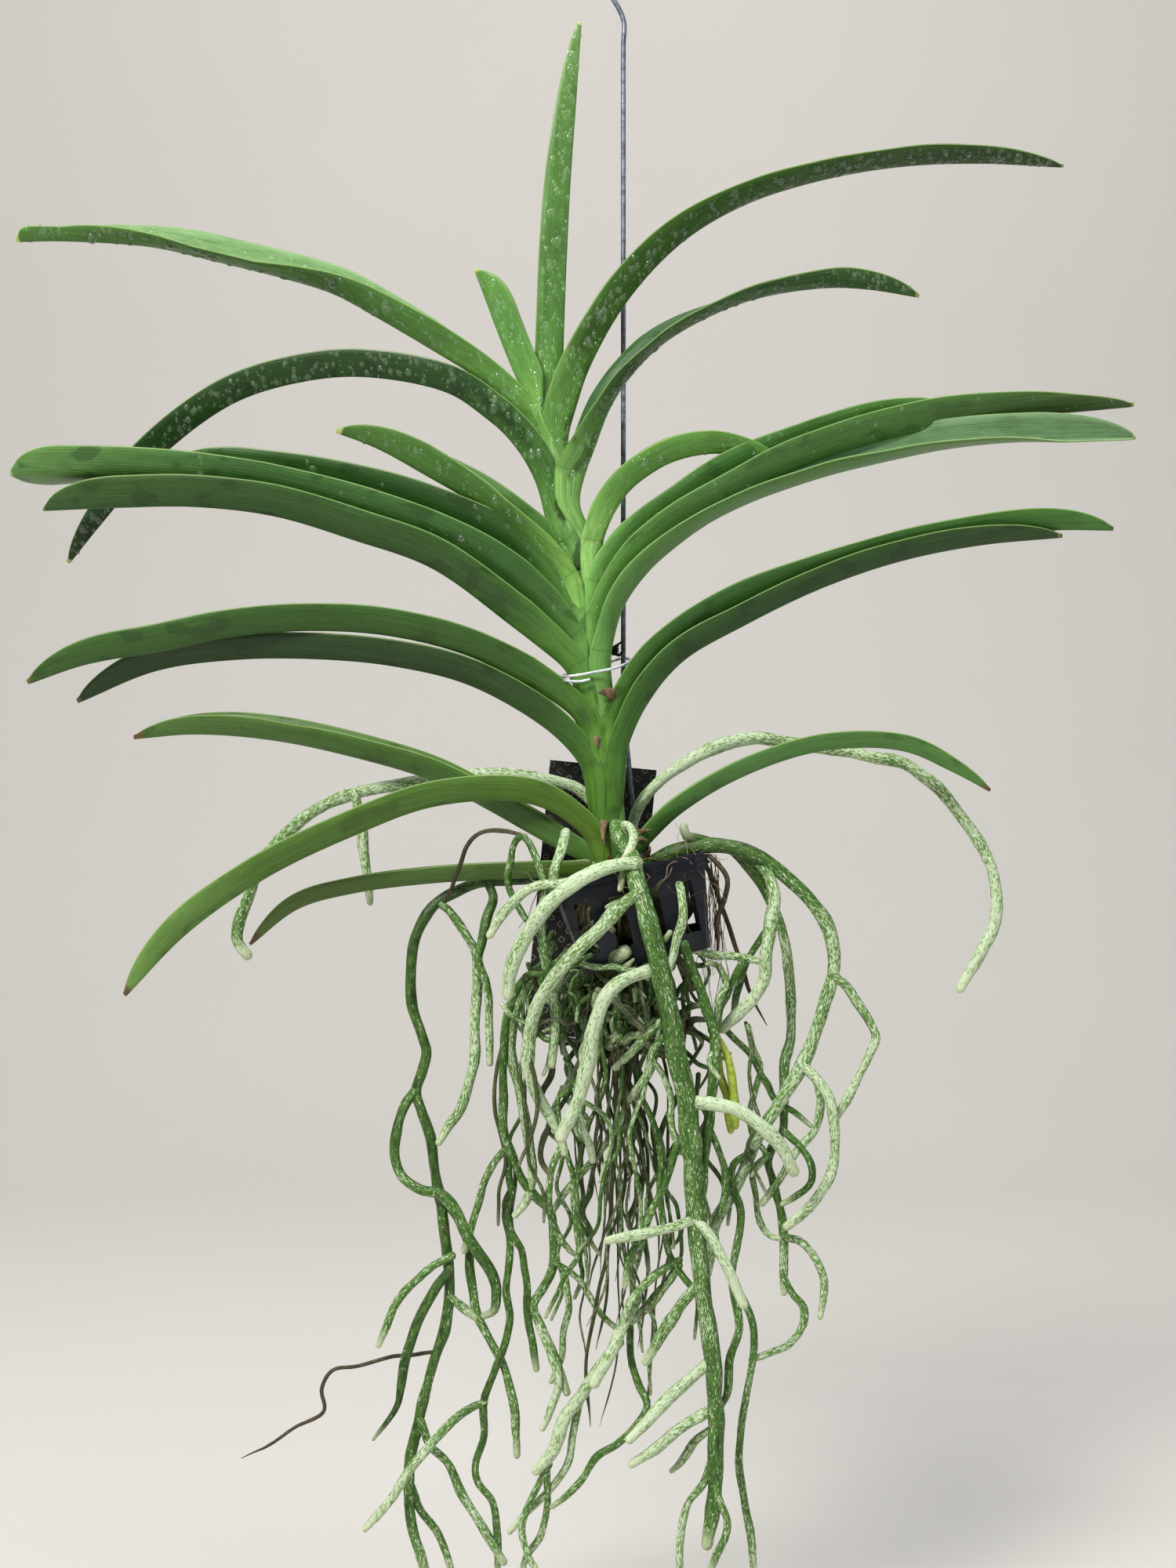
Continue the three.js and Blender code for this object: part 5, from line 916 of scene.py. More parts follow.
    ([(688, 1692), (703, 1730), (712, 1762), (704, 1795), (692, 1822)], [-8, -12, -14], [2, 2.2, 2],
     [0.4, 0.25]),
    ([(812, 1660), (795, 1690), (777, 1728), (758, 1764)], [-20, -32, -36], [2.6, 3.3, 3.4], [0.3, 0.12]),
    ([(790, 1712), (762, 1748), (738, 1785), (716, 1818), (706, 1850), (684, 1876)], [-28, -22, -20, -22],
     [2.6, 3.2, 3.6, 3.2], [0.35, 0.2, 0.15]),
    ([(740, 1784), (731, 1830), (724, 1868), (705, 1896), (680, 1922), (650, 1954)], [-18, -14, -14],
     [2, 2.2, 1.8], [0.4, 0.25]),
    ([(700, 1868), (680, 1906), (665, 1946), (672, 1978), (688, 2010)], [-18, -20, -22], [1.9, 2, 1.8],
     [0.5, 0.4]),
    ([(697, 1870), (698, 1920), (690, 1958), (672, 1985), (664, 2014)], [-18, -10, -6], [1.9, 2, 1.8],
     [0.5, 0.4]),
    # Right middle strands.
    ([(856, 1130), (866, 1128), (870, 1150), (869, 1185), (860, 1212), (852, 1242)], [-24, -56, -56, -52],
     [2.2, 2.5, 2.5, 2.4], [0.4, 0.3]),
    ([(864, 1460), (848, 1512), (830, 1548), (816, 1580), (802, 1606), (797, 1640)], [-40, -40, -34],
     [1.9, 2, 1.9], [0.7, 0.5]),
    ([(818, 1400), (834, 1432), (842, 1480), (842, 1520), (847, 1566), (853, 1600), (872, 1630),
     (898, 1655)], [-20, -22, -24, -32], [1.7, 1.8, 1.8], [0.7, 0.75]),
    ([(866, 1608), (838, 1624), (812, 1652), (796, 1680), (784, 1710)], [-26, -30, -28], [2.2, 2.5, 2.2],
     [0.5, 0.4]),
    ([(890, 1640), (866, 1668), (846, 1700), (824, 1736)], [-34, -30, -26], [2.8, 3.3, 3], [0.5, 0.3]),
    ([(866, 1614), (845, 1645), (822, 1672), (800, 1690)], [-26, -20, -18], [2.2, 2.6, 2.4], [0.5, 0.35]),
    ([(803, 1680), (804, 1735), (815, 1768), (826, 1792), (812, 1818), (788, 1840), (760, 1858),
     (742, 1886), (725, 1905), (704, 1922)], [-18, -24, -22, -18], [1.9, 2, 2, 1.6], [0.75, 0.6, 0.5]),
    ([(850, 1300), (824, 1322), (802, 1346), (785, 1362)], [-44, -36, -30], [2.2, 2.5, 2], [0.5, 0.35]),
    ([(842, 1305), (836, 1340), (820, 1378), (802, 1402)], [-42, -32, -24], [2.2, 2.3, 2.2], [0.5, 0.35]),
    ([(858, 1310), (832, 1345), (845, 1372), (856, 1402), (858, 1440), (868, 1470)], [-46, -34, -38],
     [1.8, 1.8, 1.8], [0.6, 0.4]),
    ([(905, 1440), (915, 1465), (925, 1495), (922, 1535), (906, 1570)], [-34, -28, -26], [1.8, 2, 1.8],
     [0.7, 0.6]),
    ([(958, 1470), (935, 1485), (932, 1510), (945, 1545), (940, 1590), (934, 1630), (940, 1668),
     (942, 1700), (930, 1735), (926, 1780), (912, 1806)], [-16, -18, -22, -26], [2, 2.1, 2.2, 2.2],
     [0.7, 0.6, 0.6]),
    ([(935, 1640), (950, 1662), (960, 1692), (960, 1735), (952, 1780), (945, 1815), (943, 1870),
     (950, 1915), (958, 1960), (962, 2012)], [-22, -14, -10, -8], [2, 2.1, 2.1], [0.7, 0.6, 0.35]),
    ([(999, 1628), (1010, 1648), (1025, 1668), (1024, 1692), (1004, 1715), (982, 1725), (958, 1735)],
     [-6, -8, -12], [1.9, 2.1, 1.8], [0.5, 0.4]),
    ([(1000, 1578), (1022, 1584), (1038, 1604), (1050, 1632), (1050, 1655), (1046, 1680)], [-5, -8, -10],
     [1.9, 2.1, 2], [0.5, 0.3]),
    ([(1000, 1442), (1018, 1462), (1034, 1482), (1032, 1508), (1014, 1526), (998, 1536)], [-5, -12, -5],
     [1.9, 2, 1.9], [0.75, 0.6]),
    ([(980, 1474), (960, 1492), (964, 1525), (968, 1558), (982, 1576), (1000, 1580)], [-5, 4, -4],
     [1.7, 1.8, 1.6], [0.5, 0.45]),
    ([(922, 1310), (945, 1332), (962, 1352), (975, 1378), (990, 1405), (1012, 1418), (1034, 1436)],
     [-18, -8, -8], [1.7, 1.8, 1.6], [0.7, 0.75]),
    ([(878, 1210), (905, 1218), (935, 1220), (976, 1228)], [-38, -26, -22], [2, 2.4, 2], [0.5, 0.35]),
    ([(975, 1190), (955, 1222), (942, 1262), (935, 1296)], [-20, -12, -18], [1.8, 2, 1.8], [0.7, 0.75]),
    ([(948, 1225), (930, 1262), (918, 1290), (910, 1330)], [-24, -20, -32], [1.8, 2, 1.8], [0.7, 0.75]),
    # Two yellow tips and the old wiry roots.
    ([(914, 1330), (918, 1365), (926, 1400), (932, 1442)], [-30, -24, -22], [1.8, 2.4, 2.2],
     [0.5, 0.5, 0.6], YELLOW),
    ([(916, 1325), (930, 1352), (936, 1395), (938, 1436)], [-32, -28, -26], [1.8, 2.4, 2.6],
     [0.5, 0.5, 0.6], YELLOW),
    ([(888, 1082), (905, 1112), (920, 1155), (935, 1198), (948, 1236), (962, 1275), (978, 1308)],
     [-14, -6, -12, -10], [1.3, 1.3, 1.1, 0.9], WIRY),
    ([(890, 1082), (912, 1098), (928, 1120), (924, 1148), (915, 1175), (916, 1205), (914, 1222)],
     [-14, -20, -26], [1.4, 1.5, 1.4], WIRY),
    ([(557, 1724), (510, 1730), (460, 1742), (425, 1748), (410, 1772), (412, 1800), (375, 1822),
     (345, 1842), (308, 1860)], [10, 4, 0], [1.1, 1.1, 0.9], WIRY),
    ([(670, 1066), (645, 1060), (615, 1062), (596, 1078), (585, 1108), (574, 1135), (566, 1152)],
     [-37, -10, 14], [1.1, 1.2, 1.2], WIRY),
]

ROOT_STEP = 2.0   # mm between the rings of a root
ROOT_SWING = 0.32   # mm that a root swings off its line
SWING_GROWS = 12   # mm from either end over which the swing sets in
WRINKLE = 0.022   # of the radius, on a dry root
ROOT_SIDES = 12


def wandering(count, spacing, size, random):
    """A slow random swing of about this size, one value a station."""
    knots = max(int(count / spacing) + 3, 4)
    values = random.normal(0, size, knots)
    return np.interp(np.linspace(0, knots - 1, count), np.arange(knots), values)


def root(piece, points, radius, green, brown, seed, thin=False):
    """One root: lumps, wrinkles and a slow wander on the way from its start to its tip."""
    random = np.random.default_rng(seed)
    line, passed = line_through(points)
    total = lengths(line)[-1]
    count = max(int(total / ROOT_STEP), 6)
    centres, passed = at_shares(line, np.linspace(0, 1, count), passed)
    radii = evenly(radius, passed)
    run = np.linspace(0, total, count)
    hold = smooth(np.minimum(run, total - run), 0, SWING_GROWS)
    for k in range(3):
        centres[:, k] += wandering(count, 7, ROOT_SWING, random) * hold
    angles = corners(ROOT_SIDES)
    lumps = wandering(count, 5, 0.05 + 0.006 * radii.mean(), random)[:, None] + sum(
        0.028 * np.sin(k * angles[None, :] + wandering(count, 9, 1.6, random)[:, None]) for k in (1, 2, 3))
    rings_at = random.uniform(3, 9)
    wrinkle = WRINKLE * np.sin(run * 2 * np.pi / rings_at + 2 * np.sin(run / 13))
    wrinkle = wrinkle * (1 - evenly(green, passed))
    to_tip = total - run
    if thin:
        narrow = np.clip(0.25 + to_tip / 22, 0, 1)
    else:
        narrow = 1 - 0.16 * np.exp(-(to_tip / (2.6 * radii[-1])) ** 2)
    sizes = radii[:, None] * (1 + lumps + wrinkle[:, None]) * narrow[:, None]
    piece.offset = random.uniform(0, 400, 3)
    tone = np.stack([evenly(green, passed), evenly(brown, passed), np.clip(1 - to_tip / 16, 0, 1)], -1)
    tube(piece, centres, sizes, ROOT_SIDES, {"tone": tone})


def root_finish():
    finish = Finish("velamen", Specular_IOR_Level=0.35, Coat_Weight=0.06, Coat_Roughness=0.3)
    grain, tone = finish.mark("grain"), finish.mark("tone")
    green, brown, tip = finish.split(tone)
    broad = finish.noise(finish.stretch(grain, (1, 1, 0.3)), 0.13, 4, 0.6)
    wetness = finish.plus(green, finish.calc("MULTIPLY_ADD", broad, 1.1, -0.55))
    leafy = finish.ramp(wetness, (0.0, rgb(134, 158, 104)), (0.3, rgb(92, 128, 56)),
                        (0.65, rgb(46, 88, 20)), (1.0, rgb(18, 38, 9)))
    shade = finish.noise(finish.stretch(grain, (1, 1, 0.4)), 0.6, 3, 0.6)
    leafy = finish.mix(finish.between(shade, 0.35, 0.7, 0, 0.42), leafy, rgb(104, 144, 52))
    flecks = finish.noise(finish.stretch(grain, (1.3, 1.3, 0.34)), 1.25, 3, 0.55, 0.3)
    bar = finish.between(wetness, 0.0, 0.9, 0.38, 0.69, "LINEAR")
    white = finish.between(finish.calc("SUBTRACT", flecks, bar), -0.035, 0.045, 0, 0.9)
    pale = finish.mix(finish.noise(grain, 0.3, 3), rgb(168, 190, 144), rgb(218, 230, 206))
    colour = finish.mix(white, leafy, pale)
    stain = finish.noise(finish.stretch(grain, (1, 1, 0.5)), 0.3, 5, 0.65)
    colour = finish.mix(finish.between(stain, 0.56, 0.72, 0, 0.5), colour, rgb(112, 104, 70))
    tipped = finish.times(finish.between(tip, 0.3, 1.0), 0.5)
    colour = finish.mix(tipped, colour, rgb(206, 214, 176))
    bark = finish.ramp(finish.noise(finish.stretch(grain, (1, 1, 0.3)), 1.4, 4, 0.65),
                       (0.3, rgb(26, 20, 14)), (0.55, rgb(68, 54, 36)), (0.8, rgb(126, 110, 80)))
    colour = finish.mix(brown, colour, bark)
    finish.colour(colour)
    finish.rough(finish.between(wetness, 0.3, 1.0, 0.72, 0.34))
    fine = finish.noise(finish.stretch(grain, (1, 1, 0.5)), 2.6, 3)
    finish.bump(finish.plus(finish.times(flecks, 0.5), finish.times(fine, 0.6)), 0.0007, 0.7)
    return finish.material


VELAMEN = root_finish()
aerial = Piece("aerial_roots")
tips = Piece("yellow_tips")
for number, (route, depth, radius, green, *kind) in enumerate(ROOTS):
    points = place(*np.array(route, float).T, evenly(depth, np.linspace(0, 1, len(route))))
    piece = tips if YELLOW in kind else aerial
    if green == WIRY:
        root(piece, points, radius, [0.4], [0.95, 1], 100 + number, thin=True)
    else:
        root(piece, points, radius, green, [0], 100 + number)

# Short roots, with right, down and depth at each point: the silver curl over the woody base with its
# stub, the wet stubs beside it, and two at the basket's front.
SHORT_ROOTS = [
    ([(797, 1052, -24), (804, 1054, -30), (808, 1064, -36), (807, 1077, -42), (800, 1090, -47),
      (796, 1096, -46)], [2.2, 2.3, 2.3, 2.2], [0.12, 0.2]),
    ([(798, 1096, -46), (796, 1112, -50), (791, 1134, -52)], [2.1, 1.9], [0.4, 0.5]),
    ([(905, 1074, -12), (887, 1070, -16), (876, 1066, -18), (872, 1056, -18)], [2.8, 3.2, 2.8], [0.9, 1.0]),
    ([(800, 1150, -46), (786, 1152, -50), (774, 1157, -51)], [1.8, 1.5], [0.9, 0.9]),
    ([(786, 1222, -40), (797, 1214, -46)], [4.6, 4.4], [0.7, 0.5]),
    ([(790, 1246, -40), (800, 1232, -45), (808, 1224, -46)], [3.0, 1.0], [0.8, 0.7])]
for number, (route, radius, green) in enumerate(SHORT_ROOTS):
    root(aerial, place(*np.array(route, float).T), radius, green, [0], 300 + number)

# ------------------------------------------------------------------ basket

# In mm, and square to the basket: x right, y back and z up from its middle.
GAP = 0.35   # clearance between neighbouring pieces
BASKET_RIM, BASKET_HEIGHT, BASKET_WALL = 84.0, 50.0, 1.8
RIM_BAND, BELOW_RIM, SLOT_HEIGHT = 9, 4, 27
RIM_RIB = 0.6   # how far the ribs stand out from the rim
BASKET_TILT = math.radians(12)
BASKET_MIDDLE = place(811, 1162, -6)
BASKET_TOP = BASKET_HEIGHT / 2
SLOT_MIDDLE = BASKET_TOP - RIM_BAND - BELOW_RIM - SLOT_HEIGHT / 2
WALL_HALF_TOP = BASKET_RIM / 2 - 1.4
WALL_AT_CLIP = WALL_HALF_TOP - 4.6   # the tapering back wall's outer face, where the hanger's clip is
CLIP_SLOT = 9   # how far right the slot is that the clip goes through
CARD_THICKNESS = 1.0
CARD_PLANE = BASKET_RIM / 2 + RIM_RIB + GAP + CARD_THICKNESS / 2


def in_basket(x, y, z):
    """Points given square to the basket, which hangs askew."""
    x, y, z = np.broadcast_arrays(np.asarray(x, float), np.asarray(y, float), np.asarray(z, float))
    c, s = math.cos(-BASKET_TILT), math.sin(-BASKET_TILT)
    return np.stack([x * c + z * s, y, -x * s + z * c], -1) + BASKET_MIDDLE


def basket_finish():
    finish = Finish("black_plastic_skin", Specular_IOR_Level=0.32, Coat_Weight=0.05, Coat_Roughness=0.2)
    where = finish.where()
    cloud = finish.noise(where, 60, 4, 0.6)
    colour = finish.mix(cloud, rgb(4, 8, 15), rgb(9, 18, 30))
    lime = finish.noise(where, 190, 5, 0.7, 0.6)
    colour = finish.mix(finish.between(lime, 0.62, 0.78, 0, 0.22), colour, rgb(84, 98, 106))
    algae = finish.times(finish.noise(where, 45, 4, 0.6), 0.9)
    colour = finish.mix(finish.between(algae, 0.52, 0.72, 0, 0.3), colour, rgb(44, 54, 26))
    finish.colour(colour)
    finish.rough(finish.between(finish.noise(where, 130, 3), 0.3, 0.7, 0.24, 0.5))
    finish.bump(finish.plus(finish.times(finish.noise(where, 1500, 2), 0.5), cloud), 0.0003, 0.5)
    return finish.material


def dress_node(name, material, width):
    """Gives a node of the part its material, and edges broken by a width in mm."""
    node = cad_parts[name]
    node.data.materials.clear()
    node.data.materials.append(material)
    bevel = node.modifiers.new("edges", "BEVEL")
    bevel.width = width * MM
    bevel.segments = 2
    bevel.limit_method = "ANGLE"
    bevel.angle_limit = math.radians(40)
    return node


dress_node("basket", basket_finish(), 0.35)


# ------------------------------------------------------------------ hanger

WIRE = 2.7
HOOK_BORE = 20.0
SHANK_LEVELS = [-34, -50, -385, -404]   # heights from the hook's mount
HANGER_STEP = 1.4


def hanger_line():
    radius = HOOK_BORE / 2 + WIRE / 2
    bow = np.radians(np.arange(-35, 215.1, 31.25))
    hook = np.stack([radius * np.cos(bow), 0 * bow, -HOOK_BORE / 2 + radius * np.sin(bow)], -1)
    shank = np.array([[0.0, 0.0, z] for z in SHANK_LEVELS])
    leg = CARD_PLANE + CARD_THICKNESS / 2 + GAP + WIRE / 2
    inside = WALL_AT_CLIP - BASKET_WALL - GAP - WIRE / 2 - 1
    depths = [inside, inside, inside + 3, (inside + leg) / 2, leg - 3, leg, leg]
    rises = [BASKET_TOP + 6, *(SLOT_MIDDLE + np.array([9, 2, -1, 2, 9, 22]))]
    line, _ = line_through(np.vstack([hook, shank, in_basket(CLIP_SLOT, depths, rises)]), 24)
    return at_shares(line, np.linspace(0, 1, int(lengths(line)[-1] / HANGER_STEP)))[0]


def wire_finish(name, bright, dull, dark):
    finish = Finish(name, Metallic=0.6, Specular_IOR_Level=0.5)
    where = finish.where()
    colour = finish.mix(finish.between(finish.noise(where, 220, 4, 0.6), 0.35, 0.65), dull, bright)
    spots = finish.between(finish.noise(where, 420, 4, 0.7), 0.6, 0.72, 0, 0.6)
    colour = finish.mix(spots, colour, dark)
    finish.colour(colour)
    finish.rough(finish.between(finish.noise(where, 300, 3), 0.3, 0.7, 0.3, 0.55))
    finish.bump(finish.noise(where, 700, 3), 0.0002, 0.5)
    return finish.material


hanger = Piece("hanger_wire")
tube(hanger, hanger_line(), WIRE / 2, 16, {})
hanger.build(wire_finish("galvanised_skin", rgb(128, 136, 148), rgb(84, 92, 104), rgb(52, 56, 62)),
             ("hanger",))


# ------------------------------------------------------------------ tie

TIE_LOOP = [   # right, down and depth: round the stem in front, and back round the hanger
    (724, 862.5, -9), (738, 861, -11), (752, 858.5, -11.5), (780, 853, -10), (797, 847.5, -5),
    (805, 843.5, 4), (803, 841, 13), (795, 840, 21), (785, 842, 24), (770, 848, 18), (740, 856, 13),
    (721, 861, 9), (715, 863, 0)]
TIE_TAIL = [(720, 864, 11), (714.5, 866, 2), (719, 867.5, -7), (730, 869, -10.5), (741, 869, -11.8),
            (753, 866.5, -11.8)]
TIE_RADIUS = 0.8


def drawn(points):
    """A line through points given as right, down and depth."""
    return line_through(place(*np.array(points, float).T))[0]


tie = Piece("tie_strands")
around = drawn(TIE_LOOP[-2:] + TIE_LOOP + TIE_LOOP[:2])
tube(tie, around[SPAN_SAMPLES:-SPAN_SAMPLES], TIE_RADIUS, 10, {})
tube(tie, drawn(TIE_TAIL), TIE_RADIUS, 10, {}, round_end=False)
tie.build(wire_finish("tie_skin", rgb(214, 218, 222), rgb(186, 192, 196), rgb(140, 148, 150)),
          ("tie",))


# ------------------------------------------------------------------ card

def card_finish():
    """Black plastic card, printed with small rings and lozenges in pale grey."""
    finish = Finish("card_skin", Specular_IOR_Level=0.5, Coat_Weight=0.1, Coat_Roughness=0.2)
    where = finish.stretch(finish.where(), (1000, 1000, 1000), (0, math.radians(5.5), 0))
    x, _, z = finish.split(where)
    pitch = 8.4

    def from_middle(value, offset):
        """The distance to the nearest of a row of evenly spaced middles."""
        return finish.calc("PINGPONG", finish.plus(value, 400 + offset), pitch / 2)

    def stroke(distance, radius):
        return finish.between(finish.off(distance, radius), 0.3, 0.2)

    across, down = from_middle(x, 0), from_middle(z, 0)
    ring = stroke(finish.calc("SQRT", finish.plus(finish.times(across, across),
                                                  finish.times(down, down))), 1.25)
    lozenge = stroke(finish.plus(from_middle(x, pitch / 2), from_middle(z, pitch / 2)), 1.7)
    ink = finish.calc("MAXIMUM", ring, lozenge)
    worn = finish.between(finish.noise(where, 0.25, 4, 0.6), 0.35, 0.6, 0.25, 0.8)
    colour = finish.mix(finish.noise(where, 0.1, 3), rgb(9, 9, 10), rgb(20, 20, 20))
    colour = finish.mix(finish.times(ink, worn), colour, rgb(150, 143, 120))
    finish.colour(colour)
    finish.rough(finish.between(finish.noise(where, 0.3, 3), 0.3, 0.7, 0.3, 0.5))
    finish.bump(finish.noise(where, 1.2, 3), 0.0002, 0.4)
    return finish.material


dress_node("card", card_finish(), 0.25)


# ------------------------------------------------------------------ fine roots and the tangle

HANGING_WIRY, THIN_ROOTS, TANGLED_BELOW, TANGLED_INSIDE = 34, 36, 64, 30   # how many there are
BUNCH_MIDDLE, BUNCH_TOP = 792, 1215   # of the hanging wiry roots, on the drawing
BUNCH_POINTS, THIN_POINTS = 9, 8   # points along each root


def wander(start, heading, steps, step, random, turn=0.5, fall=0.25, home=None, reach=None):
    """A free line: it turns at random, falls a little, and stays near its home."""
    points, heading = [np.array(start, float)], unit(np.array(heading, float))
    for _ in range(steps):
        heading = heading + random.normal(0, turn, 3) * [1, 0.8, 1] + [0, 0, -fall]
        if home is not None:
            away = (points[-1] - home) / reach
            heading = heading - away * np.clip(np.abs(away) - 0.6, 0, 2) * 2.2
        heading = unit(heading)
        points.append(points[-1] + heading * step)
    return np.array(points)


strands = Piece("fine_roots")
random = np.random.default_rng(29)
# Old wiry roots that hang in a bunch behind, below the basket.
for k in range(HANGING_WIRY):
    right, foot = random.uniform(762, 838), random.uniform(1420, 1830)
    levels = np.linspace(BUNCH_TOP, foot, BUNCH_POINTS)
    sway = np.cumsum(random.normal(0, 9.5, BUNCH_POINTS))
    depth = random.uniform(-30, 12) + np.cumsum(random.normal(0, 2.4, BUNCH_POINTS))
    centre = BUNCH_MIDDLE + (right - BUNCH_MIDDLE) * np.linspace(1, 0.75, BUNCH_POINTS)
    size = random.uniform(0.5, 1.3)
    root(strands, place(centre + sway, levels, depth), [size, size * 0.95, size * 0.8],
         [random.uniform(0.4, 1.0)], [random.uniform(0.1, 0.9)], 900 + k, thin=True)
# Thin green and silver roots between the long ones.
for k in range(THIN_ROOTS):
    right, top = random.uniform(655, 960), random.uniform(1200, 1480)
    foot = top + random.uniform(120, 360)
    levels = np.linspace(top, foot, THIN_POINTS)
    sway = np.cumsum(random.normal(0, 11, THIN_POINTS))
    depth = random.uniform(-34, 8) + np.cumsum(random.normal(0, 3, THIN_POINTS))
    size = random.uniform(0.8, 1.8)
    root(strands, place(right + sway, levels, depth), [size, size, size * 0.8],
         [random.uniform(0.35, 1.0)], [0.0 if k % 4 else 0.6], 1000 + k)

# The tangle in the basket and below it.
tangle = Piece("root_tangle")
for k in range(TANGLED_BELOW):
    home = place(random.uniform(720, 868), random.uniform(1218, 1300), random.uniform(-40, 6))
    start = home + random.normal(0, 12, 3) + [0, 0, 12]
    size = random.uniform(0.9, 2.3)
    points = wander(start, random.normal(0, 1, 3), int(random.uniform(7, 15)), 6.5, random, 0.45, 0.22,
                    home, np.array([44, 18, 26.0]))
    root(tangle, points, [size, size, size * 0.85], [random.uniform(0.2, 0.95)],
         [0.0 if k % 5 else 0.7], 1100 + k)
for k in range(TANGLED_INSIDE):
    inside = in_basket(random.uniform(-24, 24), random.uniform(-30, 24), random.uniform(-14, 22))
    size = random.uniform(0.9, 2.0)
    points = wander(inside, random.normal(0, 1, 3), int(random.uniform(6, 12)), 6, random, 0.5, 0.0,
                    BASKET_MIDDLE + [0, 0, 4], np.array([30, 32, 20.0]))
    root(tangle, points, [size, size, size * 0.85], [random.uniform(0.2, 0.95)],
         [0.0 if k % 3 else 0.8], 1200 + k)

aerial.build(VELAMEN, ("roots",))
strands.build(VELAMEN)
tangle.build(VELAMEN)


def bark_finish():
    finish = Finish("bark", Specular_IOR_Level=0.3)
    where = finish.where()
    flakes = finish.cells(where, 170)
    colour = finish.ramp(finish.noise(where, 150, 5, 0.7), (0.3, rgb(24, 20, 14)), (0.55, rgb(58, 48, 30)),
                         (0.75, rgb(104, 90, 60)))
    moss = finish.between(finish.noise(where, 40, 4, 0.6), 0.45, 0.62, 0, 0.8)
    finish.colour(finish.mix(moss, colour, rgb(52, 70, 22)))
    finish.rough(finish.between(flakes, 0.0, 0.8, 0.55, 0.9))
    finish.bump(finish.plus(flakes, finish.noise(where, 400, 4)), 0.0015, 0.9)
    return finish.material


core = Piece("bark_core")
CORE_FOOT, CORE_TOP = -17, 20   # mm, square to the basket
core_levels = np.linspace(CORE_FOOT, CORE_TOP, 26)
core_angles = corners(56)
core_half = 31 + 4 * (core_levels[:, None] - CORE_FOOT) / (CORE_TOP - CORE_FOOT)
core_round = np.sqrt(np.clip(1 - ((core_levels - 1.5) / 19.5) ** 2, 0.02, 1))[:, None] ** 0.7
core_lumps = 1 + sum(random.uniform(0.02, 0.05) * np.sin(
    k * core_angles[None] + core_levels[:, None] / random.uniform(2.5, 7) + random.uniform(0, 6))
    for k in (2, 3, 5, 7, 9, 12, 15))
core_size = core_half * core_round * core_lumps * 0.93
core_points = in_basket(core_size * np.cos(core_angles), core_size * np.sin(core_angles),
                        np.broadcast_to(core_levels[:, None], core_size.shape))
core.loft(core_points, {})
core.build(bark_finish())


# ------------------------------------------------------------------ water drops

# How many drops each leaf carries, on its front outer face and on its upper, inner face.
DROPS = {
    "leaf_crown": (340, 30), "leaf_left_bud": (150, 16), "leaf_left_1": (300, 380),
    "leaf_left_2": (460, 40), "leaf_left_3": (100, 30), "leaf_right_1": (520, 30),
    "leaf_right_2": (270, 20), "leaf_right_3": (50, 6), "leaf_left_4": (30, 10),
    "leaf_right_4": (20, 4), "leaf_right_3b": (36, 4), "leaf_left_3b": (24, 4)}
LARGE = 0.95   # mm: drops over this radius have finer meshes
LARGE_DROP = corners(12), np.radians([-20, 14, 44, 74])   # the angles and the levels of its rings
SMALL_DROP = corners(8), np.radians([-16, 26, 66])
LARGEST = 2.6


def drop_finish():
    finish = Finish("water", Roughness=0.04, IOR=1.33, Transmission_Weight=0.93, Specular_IOR_Level=0.6,
                    Coat_Weight=0.5, Coat_Roughness=0.04)
    finish.colour(finish.mix(finish.noise(finish.where(), 30), rgb(184, 206, 172), rgb(212, 226, 202)))
    return finish.material


def drops():
    piece = Piece("water_drops")
    random = np.random.default_rng(5)
    for name, counts in DROPS.items():
        sides, run = leaf_surfaces[name]
        first = np.searchsorted(run, -6)
        for face, count in enumerate(counts):
            grid = sides[face]
            rows, columns = grid.shape[:2]
            low = 0.1 if face == 0 or name != "leaf_left_1" else -0.9
            for _ in range(count):
                row = int(random.uniform(first, rows - 3))
                spread = random.uniform(low, 0.9)
                column = np.searchsorted(ACROSS, spread) - 1
                a = (spread - ACROSS[column]) / (ACROSS[column + 1] - ACROSS[column])
                b = random.uniform(0, 1)
                corner, right = grid[row, column], grid[row, min(column + 1, columns - 1)]
                ahead = grid[row + 1, column]
                spot = corner + (right - corner) * a + (ahead - corner) * b
                normal = unit(np.cross(right - corner, ahead - corner))
                if normal @ (grid[row, columns // 2] - sides[1 - face][row, columns // 2]) < 0:
                    normal = -normal
                fits = 0.4 + 7 * min(abs(spread), 1 - abs(spread))
                size = min(random.lognormal(-0.22, 0.5), LARGEST, fits)
                angles, levels = LARGE_DROP if size > LARGE else SMALL_DROP
                fall = unit(np.array([0, 0, -1.0]) - normal * -normal[2])
                beside = np.cross(normal, fall)
                stretch = 1 + 0.5 * random.uniform(0, 1) * (size > 0.9)
                rings = np.array([
                    spot + normal * size * 0.52 * math.sin(level) + size * math.cos(level) * (
                        np.cos(angles)[:, None] * fall * stretch + np.sin(angles)[:, None] * beside)
                    for level in levels])
                piece.loft(rings, {})
    piece.build(drop_finish()).visible_shadow = False


drops()


# ------------------------------------------------------------------ small things on the plant

def plain_finish(name, dark, light, scale=300, rough=0.7):
    finish = Finish(name, Specular_IOR_Level=0.3, Roughness=rough)
    tone = finish.noise(finish.where(), scale, 4, 0.6)
    finish.colour(finish.ramp(tone, (0.3, dark), (0.7, light)))
    finish.bump(tone, 0.0004, 0.6)
    return finish.material


